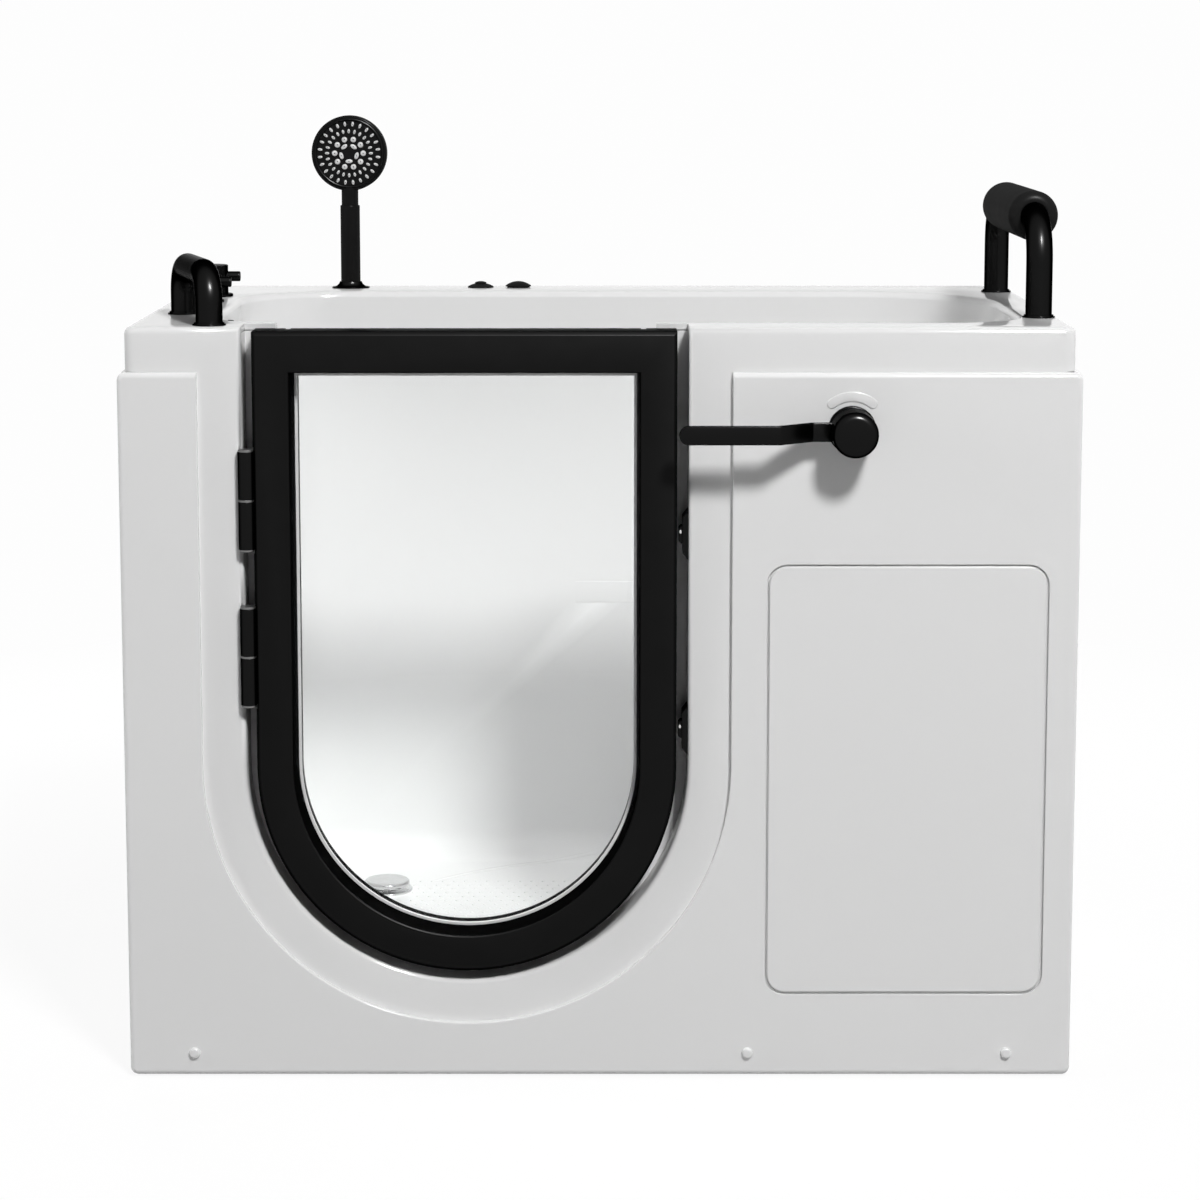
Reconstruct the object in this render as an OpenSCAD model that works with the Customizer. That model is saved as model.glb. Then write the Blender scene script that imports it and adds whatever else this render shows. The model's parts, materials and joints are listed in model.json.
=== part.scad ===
// Walk-in bathtub with an outward-opening glazed door, in millimetres.
// The front faces -Y, the deck is at the top, and the origin is under the middle of the
// whole bathtub, on the floor.

/* [Tub] */
// Width over the front panel
tub_w = 1200; // [1160:10:1400]
// Depth from the face of the front panel to the back of the rim
tub_d = 700; // [690:10:800]
// Height of the deck above the floor
deck_z = 960; // [940:10:1050]
// Wall of the moulded shell
shell_t = 8; // [5:1:10]
// Height of the rim block above the panels
rim_h = 56; // [45:1:70]
// How far the rim sits behind the faces of the panels
rim_set = 8; // [8:0.5:12]
// Corner radius of the rim seen from above
rim_corner_r = 16; // [12:1:40]
// Rounding of the rim's top edge
rim_edge_r = 9; // [4:1:12]

/* [Basin] */
// Width of the deck left of the basin
deck_left = 97; // [90:1:120]
// Width of the deck right of the basin
deck_right = 52; // [48:1:70]
// Width of the deck behind the basin
deck_back = 115; // [100:1:140]
// Thickness of the hollow front wall, from the rim's face to the basin
front_wall = 72; // [70:1:84]
// Radius of the basin's front corners
basin_front_r = 100; // [80:5:130]
// Radius of the basin's back corner at the seat
basin_back_r = 200; // [140:5:240]
// Radius of the basin's back corner at the drain
basin_left_r = 140; // [120:5:200]
// Height of the foot well's floor
well_z = 140; // [135:1:150]
// Height of the seat
seat_z = 540; // [520:5:600]
// Length of the seat from the basin's right end
seat_l = 430; // [420:5:460]
// Lean of the basin walls, sideways per unit of height
basin_lean = 0.02; // [0:0.005:0.04]
// Rounding where the walls meet the floor and the seat
cove_r = 42; // [30:1:60]
// Rounding of the seat's front edge
seat_edge_r = 22; // [15:1:30]
// Rounding of the basin's upper edge
basin_edge_r = 8; // [5:1:12]
// Radius of the foot well's corners at the seat
well_corner_r = 70; // [60:5:90]

/* [Doorway] */
// Distance from the tub's left end to the doorway's centre line
door_side = 432; // [425:1:450]
// Width of the doorway between the jambs
doorway_w = 557; // [520:1:580]
// Height of the doorway's sill
sill_z = 125.5; // [110:0.5:135]
// Width of the moulded band round the doorway
band_w = 54.5; // [45:0.5:65]
// How far the stop flange reaches in from the jamb
stop_lip = 39; // [37:0.5:45]
// Thickness of the stop flange
stop_t = 17; // [12:1:20]
// Rounding of the jamb's front edge
jamb_edge_r = 6; // [3:0.5:8]

/* [Door] */
// Gap between the door and the jamb
door_gap = 14.5; // [12:0.5:16]
// How far the door's face stands out of the band
door_proud = 11; // [8:1:14]
// Clearance between the door seal and the stop flange
seal_gap = 0.4; // [0.3:0.1:1]
// Thickness of the rubber door seal
seal_t = 4; // [3:0.5:6]
// Width of the door frame's face
face_w = 46; // [42:1:50]
// Height of the frame's top bar
top_bar = 51; // [40:1:60]
// Drop of the door's top below the deck
door_drop = 5; // [3:1:10]
// Bevel on the door frame's front edge
frame_bevel = 4; // [2:0.5:6]
// Bevel on the door frame's back edge
frame_back_bevel = 6; // [5:0.5:8]
// Depth of the window's reveal
reveal_d = 43; // [35:1:44]
// Thickness of the door glass
glass_t = 8; // [6:1:9]
// Depth of the rebate that takes the glass's edge
glass_lap = 8; // [6:1:10]
// How far the pale bead shows inside the reveal
bead_w = 3; // [2:0.5:6]
// Depth of the pale bead
bead_d = 5; // [4:0.5:6]

/* [Hinges] */
// Radius of the hinge barrels
barrel_r = 10; // [9:0.5:10.5]
// Length of each hinge barrel
barrel_l = 128; // [110:1:140]
// Height of the upper hinge's middle
hinge_upper_z = 744; // [730:1:770]
// Height of the lower hinge's middle
hinge_lower_z = 546; // [520:1:570]
// Radius of the hinge pins
hinge_pin_r = 4; // [3:0.5:5]
// Running clearance of the pins, on radius
pin_play = 0.05; // [0.02:0.01:0.08]
// How far the hinge axis lies behind the door's face
axis_set = 5; // [4:0.5:6]
// Thickness of the hinge leaves
leaf_t = 3; // [2:0.5:4]
// Depth of the hinge leaves
leaf_d = 38; // [30:1:45]
// Thickness of the hinge washers and pin heads
washer_t = 2.6; // [1.4:0.2:3]

/* [Latch] */
// How far the latch hub stands out of the front panel
hub_reach = 67; // [64:1:80]
// Radius of the latch hub
hub_r = 28.5; // [25:0.5:32]
// Distance of the hub from the doorway's centre line
hub_x_off = 481; // [470:1:500]
// Depth of the hub's centre below the deck
hub_drop = 127; // [120:1:140]
// Radius of the spindle that carries the hub
spindle_r = 8; // [7:0.5:9]
// Height of the lever bar
lever_h = 23.5; // [20:0.5:28]
// Thickness of the lever bar
lever_t = 8; // [6:0.5:10]
// Clearance between the lever's tip and the door's swing
lever_tip_gap = 1.6; // [1:0.1:4]
// Distance from the hub at which the lever starts its jog
jog_far = 92; // [85:1:100]
// Distance from the hub at which the jog ends
jog_near = 50; // [45:1:55]
// Number of teeth on the latch pinion
pinion_teeth = 18; // [18:1:22]
// Size of the teeth, pitch diameter over number of teeth
tooth_module = 1.25; // [1:0.05:1.4]
// Play between the rack's teeth and the pinion's
tooth_play = 0.3; // [0.2:0.05:0.4]
// Width of the pinion's and rack's teeth
tooth_w = 10; // [8:1:12]
// Height of the latch bolts
bolt_h = 22; // [18:1:26]
// Depth of the latch bolts, front to back
bolt_d = 18; // [14:1:20]
// Height of the upper latch bolt's middle
bolt_upper_z = 698; // [690:1:710]
// Height of the lower latch bolt's middle
bolt_lower_z = 449; // [440:1:460]
// Height of the keeper plates
keeper_h = 63; // [50:1:75]
// Thickness of the keeper plates
keeper_t = 7; // [5:0.5:8]

/* [Panels] */
// Wall of the front and end panels
panel_t = 4; // [3:0.5:5]
// Rounding of the panels' outer edges
panel_edge_r = 7; // [5:0.5:7.5]
// Radius of the panels' corners
panel_corner_r = 10; // [9:1:20]
// Depth of the front panel's turned-back edges
panel_return = 28; // [20:1:28]
// Rounding of the front panel's edge round the doorway
notch_edge_r = 1.5; // [1:0.5:3]
// Clearance of the panels above the floor
panel_floor_gap = 2; // [1:1:6]
// Strip of the front panel between the doorway's band and the access panel
access_gap = 46; // [40:1:60]
// Height of the access panel
access_h = 550; // [500:5:560]
// Distance from the front panel's right edge to the access panel
access_side = 40; // [34:1:45]
// Height of the access panel's lower edge
access_z = 111; // [100:1:120]
// Radius of the access panel's corners
access_r = 24; // [15:1:35]
// Groove round the access panel
groove_w = 2; // [1.5:0.5:3]
// Radius of the screw caps
cap_r = 7; // [6:0.5:8]

/* [Frame] */
// Side of the square frame tubes
tube_s = 30; // [25:1:32]
// Wall of the frame tubes
tube_t = 2; // [1.5:0.5:3]
// Radius of the levelling feet's pads
foot_r = 24; // [20:1:24]
// Radius of the feet's threaded stems
stem_r = 6; // [5:0.5:8]
// Distance from the seat's front edge to its legs
seat_leg_in = 220; // [200:5:250]
// Distance from the basin's front to the front seat leg
seat_leg_front = 110; // [90:5:130]
// Distance from the basin's back to the back seat leg
seat_leg_back = 140; // [120:5:160]

/* [Deck fittings] */
// Radius of the grab bars
bar_r = 17; // [15:0.5:18]
// Height of the left grab bar's centre line above the deck
left_bar_h = 64; // [62:1:75]
// Height of the right grab bar's centre line above the deck
right_bar_h = 127; // [120:1:140]
// Distance between the right grab bar's posts
right_bar_l = 427; // [410:1:450]
// Length of the foam roll
roll_l = 290; // [260:5:300]
// Outer radius of the foam roll
roll_r = 32.5; // [30:0.5:34]
// Radius of the tap bodies
tap_r = 22; // [18:0.5:24]
// Height of the tap bodies above the deck
tap_h = 44; // [40:1:50]
// Distance between the two taps
tap_gap = 105; // [95:1:120]
// Distance from the rim's face to the first tap
tap_setback = 387; // [370:1:395]
// Length of the taps' threaded tails
tap_tail = 40; // [30:1:45]
// Outer radius of the taps' threaded tails
tail_r = 10.5; // [9:0.5:10.5]
// Radius of the hand shower's handle
handle_r = 14; // [12:0.5:16]
// Length of the hand shower's handle
handle_l = 117; // [105:1:130]
// Radius of the hand shower's head
head_r = 54; // [48:1:60]
// Thickness of the hand shower's head
head_t = 20; // [18:1:28]
// Height of the hand shower's top above the deck
shower_top = 248; // [235:1:260]
// Radius of the air controls
air_r = 18.5; // [16:0.5:21]
// Height of the air controls
air_h = 9; // [8:0.5:12]
// Travel of the air push button
button_travel = 3; // [2:0.5:3.5]

/* [Waste] */
// Radius of the drain cap
drain_cap_r = 31.5; // [28:0.5:34]
// Lift of the drain cap above its flange
drain_lift = 6; // [5:0.5:8]
// Radius of the waste pipes
waste_r = 20; // [16:0.5:22]
// Radius of the overflow plate
overflow_r = 34; // [30:0.5:38]
// Depth of the overflow's centre below the deck
overflow_drop = 48; // [46:1:70]
// Distance from the rim's face to the overflow
overflow_setback = 267; // [240:1:290]
// Distance from the basin's left end to the drain
drain_in = 198; // [180:1:220]
// Distance from the rim's face to the drain
drain_setback = 375; // [350:1:385]
// Length of the waste tail behind its collar
waste_tail = 60; // [50:1:60]

/* [Blower] */
// Radius of the blower's fan casing
fan_r = 60; // [50:1:64]
// Depth of the fan casing
fan_w = 36; // [30:1:42]
// Radius of the blower's motor
motor_r = 45; // [38:1:50]
// Length of the motor
motor_l = 90; // [80:1:100]
// Radius of the air riser
riser_r = 16; // [12:0.5:18]

/* [Hidden] */

eps = 0.01;         // overlap that makes a cut pass through a face
gap = 0.3;          // clearance between pieces that move past each other
fine = 96;          // facets of round forms
coarse = 32;        // facets of the lofted forms' corners
shell_fn = 72;      // facets of the doorway's arc in the moulding

// Planes of the tub
front_y = (hub_reach - tub_d) / 2;             // face of the front panel
back_y = front_y + tub_d;                      // back of the rim
rim_y = front_y + rim_set;                     // face of the rim and of the door band
rim_x = tub_w / 2 - rim_set;                   // side of the rim
rim_z = deck_z - rim_h;                        // underside of the rim, top of the panels
under_deck_z = deck_z - shell_t;

// Basin
basin_x0 = -rim_x + deck_left;
basin_x1 = rim_x - deck_right;
basin_y0 = rim_y + front_wall;
basin_y1 = back_y - deck_back;
seat_x = basin_x1 - seat_l;
well_lean = (deck_z - well_z) * basin_lean;

// Doorway, a U open at the top
door_x = -tub_w / 2 + door_side;
jamb_r = doorway_w / 2;
arc_z = sill_z + jamb_r;
band_r = jamb_r + band_w;
band_lap = 12;                                 // how far the band runs on behind the front panel
door_r = jamb_r - door_gap;
stop_r = jamb_r - stop_lip;
door_y = rim_y - door_proud;
stop_y = basin_y0 - stop_t;
door_t = stop_y - seal_gap - seal_t - door_y;
door_top = deck_z - door_drop;
window_r = door_r - face_w;
window_top = door_top - top_bar;
glass_y = door_y + reveal_d;
glass_r = window_r + glass_lap;

// Hinge axis
axis_x = door_x - door_r - door_gap * 0.62;
axis_y = door_y + axis_set;
hinge_z = [hinge_lower_z, hinge_upper_z];
scallop_r = barrel_r + 1.5;

// Latch
hub_x = door_x + hub_x_off;
hub_z = deck_z - hub_drop;
pitch_r = pinion_teeth * tooth_module / 2;
bolt_travel = pitch_r * PI / 2;
bolt_y = rim_y + shell_t + 3;
swing_r = norm([door_x + door_r - axis_x, door_t - frame_back_bevel - axis_set]);
bolt_tip_x = axis_x + swing_r + 0.4;
lever_front_y = front_y - hub_reach + 5;
lever_tip_x = axis_x + sqrt(swing_r ^ 2 - (axis_y - lever_front_y - lever_t) ^ 2) + lever_tip_gap;
rack_y = rim_y + shell_t + 12;
carriage_x = door_x + band_r + 14;

bolt_play = 1.7;                               // clearance of the bolts in the door's pockets
guide_l = 40;                                  // length of the bolt guides behind the jamb
pressure_angle = 20;                           // of the latch teeth
socket_h = 9;                                  // height of the hand shower's socket
flare_r = 11;                                  // radius of its flare
rosette_t = 6;
rosette_wall = 4;
spindle_out = 30;                              // how far the spindle reaches in front of the panel
hub_dome_r = hub_r * 5;                        // radius of the hub's slightly crowned face

// Glazing and seal
reveal_edge = 1.5;                             // bevel along the reveal's front edge
reveal_taper = 4;                              // how far the reveal narrows towards the glass
glass_play = 0.5;                              // room round the glass in its rebate
seal_in = 14;                                  // distance of the seal from the door's edge
seal_w = 7;

// Panels
end_return = 17;                               // depth of the end panels' turned-back edges
end_panel_w = tub_d - panel_return - 1;
gusset = 34;                                   // length of the plates that close the panel's top corners
access_x = door_x + band_r + access_gap;
access_w = tub_w / 2 - access_side - access_x;
ledge_w = 12;                                  // overlap of the ledge round the access opening
screw_x = [-tub_w / 2 + 83, access_x - access_gap / 2, tub_w / 2 - 82];
peg_r = 3;
screw_z = 32;
screw_r = 2.5;
bracket_w = 30;
bracket_t = 3;

// Frame
foot_in = 40;                                  // distance of the feet from the rails' ends
cross_z = well_z - shell_t - tube_s;           // underside of the rails that carry the moulding
rail_z = cross_z - tube_s;                     // underside of the base rails
rail_x = rim_x - shell_t - tube_s - 2;         // inner faces of the posts
side_rail_x = tub_w / 2 - panel_t - 2 - tube_s;  // inner faces of the side rails
rail_front_y = basin_y0 - shell_t - tube_s - 4;
rail_back_y = back_y - shell_t - tube_s - 12;
cross_x = [basin_x0 + 70, seat_x - 90];
seat_leg_x = seat_x + seat_leg_in;

// Deck fittings
deck_mid_left = -rim_x + deck_left / 2;
tap_x = deck_mid_left + 2;
tap_y = [rim_y + tap_setback, rim_y + tap_setback + tap_gap];
shower_x = door_x - 193;
shower_y = back_y - 42;
air_x = [door_x - 5, door_x + 49.5];
air_y = back_y - 37;
left_bar = [[-rim_x + 104, rim_y + 30], [-rim_x + 50, rim_y + 200]];
right_bar_x = rim_x - 28;
right_bar_y = rim_y + 146;
bar_wall = 2;
tap_split = 13;                                // height at which a tap's turning top begins
tap_reach = tap_r + 17;                        // reach of a tap's lever from its axis
tap_nut = 9;                                   // thickness of the nuts under the deck
tap_shank = shell_t + tap_nut + 3;             // depth at which a tap's threaded tail begins
air_in = air_r * 0.45;                         // radius of the air controls' inner guides
left_bend = bar_r * 2.1;
right_bend = 55;

// Waste
drain_x = basin_x0 + drain_in;
drain_y = rim_y + drain_setback;
overflow_y = rim_y + overflow_setback;
overflow_z = deck_z - overflow_drop;
overflow_x = basin_x0 + (deck_z - overflow_z + overflow_r) * basin_lean + 0.1;
tail_y = back_y - 5;
overflow_pipe_x = basin_x0 - shell_t - waste_r - 4;
waste_z = rail_z - waste_r - 18;
tail_collar = 8;                               // width of the collar that ends the waste tail
pipe_t = 3;                                    // wall of the waste pipes

// ---------- shared forms ----------

// A convex tub form: corners of given radii, leaning walls and a cove at the bottom.
// grow moves every face outwards, which makes the outside of a wall of that thickness.
module basin_form(x0, x1, y0, y1, corner_r, z0, z1, cove, grow = 0) {
    centres = [[x0, y0, 1, 1], [x1, y0, -1, 1], [x1, y1, -1, -1], [x0, y1, 1, -1]];
    lean = (z1 - z0) * basin_lean;
    hull() {
        for (i = [0:3]) {
            c = centres[i];
            r = corner_r[i];
            translate([c[0] + c[2] * r, c[1] + c[3] * r, 0])
                rotate_extrude($fn = coarse)
                    polygon(concat(
                        [[0, z0 - grow], [r - lean - cove, z0 - grow]],
                        [for (a = [-72:18:0]) [r - lean - cove + (cove + grow) * cos(a),
                            z0 + cove + (cove + grow) * sin(a)]],
                        [[r + grow, z1], [0, z1]]));
        }
    }
}

// A band of the basin's opening that widens upwards, for the rolled edge.
module opening_flare(z0, z1, out0, out1) {
    r = [basin_front_r, basin_front_r, basin_back_r, basin_left_r];
    centres = [[basin_x0, basin_y0, 1, 1], [basin_x1, basin_y0, -1, 1],
        [basin_x1, basin_y1, -1, -1], [basin_x0, basin_y1, 1, -1]];
    hull() {
        for (i = [0:3]) {
            translate([centres[i][0] + centres[i][2] * r[i], centres[i][1] + centres[i][3] * r[i], z0])
                cylinder(r1 = r[i] + out0, r2 = r[i] + out1, h = z1 - z0, $fn = coarse);
        }
    }
}

// The U outline of the doorway in X and Z, open upwards to top.
module u_outline(r, top) {
    circle(r, $fn = shell_fn);
    translate([-r, 0]) square([2 * r, top - arc_z]);
}

// A U-shaped slab from y0 to y1.
module u_slab(r, top, y0, y1) {
    translate([door_x, y1, arc_z]) rotate([90, 0, 0]) linear_extrude(y1 - y0) u_outline(r, top);
}

// A rectangle with round corners.
module round_rect(w, h, r) {
    translate([r, 0]) square([w - 2 * r, h]);
    translate([0, r]) square([w, h - 2 * r]);
    for (x = [r, w - r], y = [r, h - r]) translate([x, y]) circle(r, $fn = fine);
}

// A plate in X and Z with round corners, from y0 to y1.
module xz_plate(x, z, w, h, r, y0, y1) {
    translate([x, y1, z]) rotate([90, 0, 0]) linear_extrude(y1 - y0) round_rect(w, h, r);
}

// A square tube along its own Z axis.
module square_tube(length) {
    difference() {
        cube([tube_s, tube_s, length]);
        translate([tube_t, tube_t, -eps]) cube([tube_s - 2 * tube_t, tube_s - 2 * tube_t, length + 2 *
            eps]);
    }
}

module tube_x(x0, x1, y, z) {
    translate([x0, y, z + tube_s]) rotate([0, 90, 0]) square_tube(x1 - x0);
}

module tube_y(y0, y1, x, z) {
    translate([x, y0, z + tube_s]) rotate([-90, 0, 0]) square_tube(y1 - y0);
}

// A round pipe's elbow of a quarter turn, from +X towards +Y in its own frame.
module elbow(pipe_r, bend_r) {
    rotate_extrude(angle = 90, $fn = fine) translate([bend_r, 0]) circle(pipe_r, $fn = 48);
}

// ---------- tub ----------

// Rounded block of the deck and its turned-down edge.
module rim_block(grow, top_r) {
    x = rim_x + grow;
    y0 = rim_y - grow;
    y1 = back_y + grow;
    r = rim_corner_r + grow;
    hull() {
        for (sx = [-1, 1], sy = [0, 1]) {
            translate([sx * (x - r), sy == 0 ? y0 + r : y1 - r, 0]) rotate_extrude($fn = coarse)
                polygon(concat([[0, rim_z - (grow < 0 ? 1 : 0)], [r, rim_z - (grow < 0 ? 1 : 0)]],
                    [for (a = [0:22.5:90]) [r - top_r + top_r * cos(a), deck_z + grow - top_r + top_r *
                        sin(a)]],
                    [[0, deck_z + grow]]));
        }
    }
}

module tub_shell() {
    opening_r = [basin_front_r, basin_front_r, basin_back_r, basin_left_r];
    well_r = [basin_front_r, well_corner_r, well_corner_r, basin_left_r];
    color("white") difference() {
        union() {
            difference() {
                rim_block(0, rim_edge_r);
                rim_block(-shell_t, 1);
            }
            basin_form(basin_x0, seat_x, basin_y0, basin_y1, well_r, well_z, under_deck_z + 2, cove_r,
                shell_t);
            basin_form(basin_x0, basin_x1, basin_y0, basin_y1, opening_r, seat_z, under_deck_z + 2,
                cove_r, shell_t);
            u_slab(band_r + band_lap, rim_z + 1, rim_y, rim_y + shell_t);
            u_slab(jamb_r + shell_t, deck_z - rim_edge_r, rim_y, basin_y0);
        }
        basin_form(basin_x0, seat_x, basin_y0, basin_y1, well_r, well_z, deck_z + 1, cove_r);
        basin_form(basin_x0, basin_x1, basin_y0, basin_y1, opening_r, seat_z, deck_z + 1, cove_r);
        rolled_edge();
        seat_edge();
        u_slab(stop_r, deck_z + 1, rim_y - 1, basin_y0 + well_lean + cove_r);
        u_slab(jamb_r, deck_z + 1, rim_y - 1, stop_y);
        jamb_edge();
        for (z = hinge_z) translate([axis_x, axis_y, z - barrel_l / 2 - 3])
            cylinder(r = scallop_r, h = barrel_l + 6, $fn = 48);
        shell_holes();
    }
}

// What the rolled upper edge of the basin takes off the deck.
module rolled_edge() {
    e = basin_edge_r;
    for (a = [0:30:60]) {
        opening_flare(deck_z - e + e * sin(a), deck_z - e + e * sin(a + 30) + (a == 60 ? eps : 0), e -
            e * cos(a), e - e * cos(a + 30));
    }
}

// What the rounding of the jamb's front edge takes off the moulding.
module jamb_edge() {
    e = jamb_edge_r;
    for (a = [0:30:60]) {
        hull() {
            for (step = [a, a + 30]) {
                y = rim_y + e - e * cos(step);
                u_slab(jamb_r + e - e * sin(step), deck_z + 1, y - eps, y);
            }
        }
    }
}

// What the rounded front edge of the seat takes off the moulding.
module seat_edge() {
    e = seat_edge_r;
    for (a = [0:30:60]) {
        hull() {
            for (step = [a, a + 30]) {
                lean = (deck_z - seat_z) * basin_lean;
                out = e - e * cos(step) - lean;
                z = seat_z - e + e * sin(step);
                for (y = [basin_y0 + well_corner_r, basin_y1 - well_corner_r]) {
                    translate([seat_x - well_corner_r, y, z])
                        cylinder(r = well_corner_r + out, h = eps, $fn = coarse);
                }
            }
        }
    }
}

// Holes for the fittings.
module shell_holes() {
    translate([drain_x, drain_y, well_z - 2 * shell_t])
        cylinder(r = waste_r + 6, h = 3 * shell_t, $fn = 48);
    for (y = tap_y) translate([tap_x, y, rim_z]) cylinder(r = tap_r * 0.6, h = rim_h * 2, $fn = 48);
    translate([shower_x, shower_y, rim_z]) cylinder(r = handle_r, h = rim_h * 2, $fn = 48);
    for (x = air_x) translate([x, air_y, rim_z]) cylinder(r = air_r * 0.7, h = rim_h * 2, $fn = 48);
    translate([basin_x0 - 3 * shell_t, overflow_y, overflow_z]) rotate([0, 90, 0])
        cylinder(r = waste_r + 2, h = 6 * shell_t, $fn = 48);
    for (z = [bolt_lower_z, bolt_upper_z]) translate([door_x + jamb_r - 1, bolt_y - 3, z - bolt_h / 2 - 4])
        cube([shell_t + 3, bolt_d + 6, bolt_h + 8]);
}

// ---------- panels ----------

// Section of a pressed panel's edge: x runs inwards from the edge, y backwards from the face.
module pan_section(depth) {
    e = panel_edge_r;
    intersection() {
        difference() {
            translate([e, e]) circle(e, $fn = 48);
            translate([e, e]) circle(e - panel_t, $fn = 48);
        }
        square([e, e]);
    }
    translate([0, e]) square([panel_t, depth - e]);
}

// Straight edges of a panel whose face is at y = 0: each sweeps the section it is given.
module edge_up(x, z0, z1) {
    translate([x, 0, z0]) linear_extrude(z1 - z0) children();
}

module edge_up_mirrored(x, z0, z1) {
    translate([x, 0, z0]) mirror([1, 0, 0]) linear_extrude(z1 - z0) children();
}

module edge_bottom(x0, x1, z) {
    translate([x1, 0, z]) rotate([0, -90, 0]) linear_extrude(x1 - x0) children();
}

module edge_top(x0, x1, z) {
    translate([x1, 0, z]) mirror([0, 0, 1]) rotate([0, -90, 0]) linear_extrude(x1 - x0) children();
}

// A rounded corner, turned by quarter turns from the bottom right one.
module edge_corner(x, z, r, turn, depth) {
    translate([x, 0, z]) rotate([-90, 0, 0]) rotate([0, 0, turn]) rotate_extrude(angle = 90, $fn = fine)
        translate([r, 0]) mirror([1, 0]) pan_section(depth);
}

// A whole rectangular panel with turned-back edges, its face at y = 0.
module pan(w, h, r, depth) {
    e = panel_edge_r;
    translate([e, panel_t, e]) rotate([90, 0, 0]) linear_extrude(panel_t)
        round_rect(w - 2 * e, h - 2 * e, r - e);
    edge_up(0, r, h - r) pan_section(depth);
    edge_up_mirrored(w, r, h - r) pan_section(depth);
    edge_bottom(r, w - r, 0) pan_section(depth);
    edge_top(r, w - r, h) pan_section(depth);
    edge_corner(w - r, r, r, 0, depth);
    edge_corner(r, r, r, 90, depth);
    edge_corner(r, h - r, r, 180, depth);
    edge_corner(w - r, h - r, r, 270, depth);
}

// Section of the front panel's wall beside the doorway's band, x running away from the doorway.
module notch_section() {
    e = notch_edge_r;
    translate([e, 0]) square([panel_t - e, rim_set]);
    translate([0, e]) square([panel_t, rim_set - e]);
    intersection() {
        translate([e, e]) circle(e, $fn = 48);
        square([e, e]);
    }
}

// Solid section that closes the rounded top edge where it meets the doorway's band.
module cap_section() {
    e = panel_edge_r;
    intersection() {
        translate([e, e]) circle(e, $fn = 48);
        square([e, e]);
    }
    translate([0, e]) square([e, rim_set - e]);
}

// The front panel's flat face, inside its rounded edges.
module apron_face() {
    e = panel_edge_r;
    notch = band_r + notch_edge_r;
    difference() {
        translate([-tub_w / 2 + e, panel_floor_gap + e])
            round_rect(tub_w - 2 * e, rim_z - panel_floor_gap - 2 * e, panel_corner_r - e);
        translate([door_x, arc_z]) circle(notch, $fn = fine);
        translate([door_x - notch, arc_z]) square([2 * notch, rim_z]);
    }
}

module front_apron() {
    r = panel_corner_r;
    x0 = -tub_w / 2;
    x1 = tub_w / 2;
    z0 = panel_floor_gap;
    left = door_x - band_r;
    right = door_x + band_r;
    leg_z = rim_z - panel_edge_r;
    color("white") difference() {
        translate([0, front_y, 0]) union() {
            translate([0, panel_t, 0]) rotate([90, 0, 0]) linear_extrude(panel_t) apron_face();
            edge_bottom(x0 + r, x1 - r, z0) pan_section(panel_return);
            edge_up(x0, z0 + r, rim_z - r) pan_section(panel_return);
            edge_up_mirrored(x1, z0 + r, rim_z - r) pan_section(panel_return);
            edge_corner(x1 - r, z0 + r, r, 0, panel_return);
            edge_corner(x0 + r, z0 + r, r, 90, panel_return);
            edge_corner(x0 + r, rim_z - r, r, 180, panel_return);
            edge_corner(x1 - r, rim_z - r, r, 270, panel_return);
            for (x = [x0 + panel_t, x1 - panel_t - gusset]) translate([x, panel_t, rim_z - 6])
                cube([gusset, panel_return - panel_t - 0.5, 3]);
            edge_top(x0 + r, left, rim_z) pan_section(rim_set);
            edge_top(right, x1 - r, rim_z) pan_section(rim_set);
            edge_top(left - panel_t, left, rim_z) cap_section();
            edge_top(right, right + panel_t, rim_z) cap_section();
            edge_up_mirrored(left, arc_z, leg_z) notch_section();
            edge_up(right, arc_z, leg_z) notch_section();
            translate([door_x, 0, arc_z]) rotate([-90, 0, 0]) rotate_extrude(angle = 180, $fn = fine)
                translate([band_r, 0]) notch_section();
            access_ledge();
        }
        xz_plate(access_x - groove_w, access_z - groove_w, access_w + 2 * groove_w,
            access_h + 2 * groove_w, access_r + groove_w, front_y - 1, front_y + panel_t);
        translate([hub_x, front_y - 1, hub_z]) rotate([-90, 0, 0])
            cylinder(r = spindle_r + rosette_wall, h = panel_t + 2, $fn = fine);
        for (x = screw_x) translate([x, front_y - 1, screw_z]) rotate([-90, 0, 0])
            cylinder(r = screw_r + 0.5, h = panel_t + 2, $fn = 32);
        at_pegs() rotate([-90, 0, 0]) cylinder(r = peg_r + 0.1, h = 3 * panel_t, $fn = 32);
    }
}

// The ledge behind the front panel that the access panel seats on.
module access_ledge() {
    difference() {
        translate([0, -front_y, 0]) xz_plate(access_x - ledge_w, access_z - ledge_w, access_w + 2 * ledge_w,
            access_h + 2 * ledge_w, access_r + ledge_w, front_y + panel_t, front_y + 2 * panel_t);
        translate([0, -front_y, 0]) xz_plate(access_x + ledge_w, access_z + ledge_w, access_w - 2 * ledge_w,
            access_h - 2 * ledge_w, access_r - ledge_w, front_y + panel_t - 1, front_y + 2 * panel_t + 1);
    }
}

// Places of the access panel's locating pegs, on the front panel's face plane.
module at_pegs() {
    for (x = [access_x + ledge_w / 2, access_x + access_w - ledge_w / 2], z =
        [access_z + 80, access_z + access_h - 80])
        translate([x, front_y, z]) children();
}

// The lift-off panel: a flat face with a rounded front edge.
module access_panel() {
    e = 1.5;
    color("white") {
        xz_plate(access_x, access_z, access_w, access_h, access_r, front_y + e, front_y + panel_t - gap);
        xz_plate(access_x + e, access_z + e, access_w - 2 * e, access_h - 2 * e, access_r - e, front_y,
            front_y + e + eps);
        at_pegs() translate([0, panel_t - gap - eps, 0]) rotate([-90, 0, 0])
            cylinder(r = peg_r, h = 10, $fn = 32);
    }
}

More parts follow.
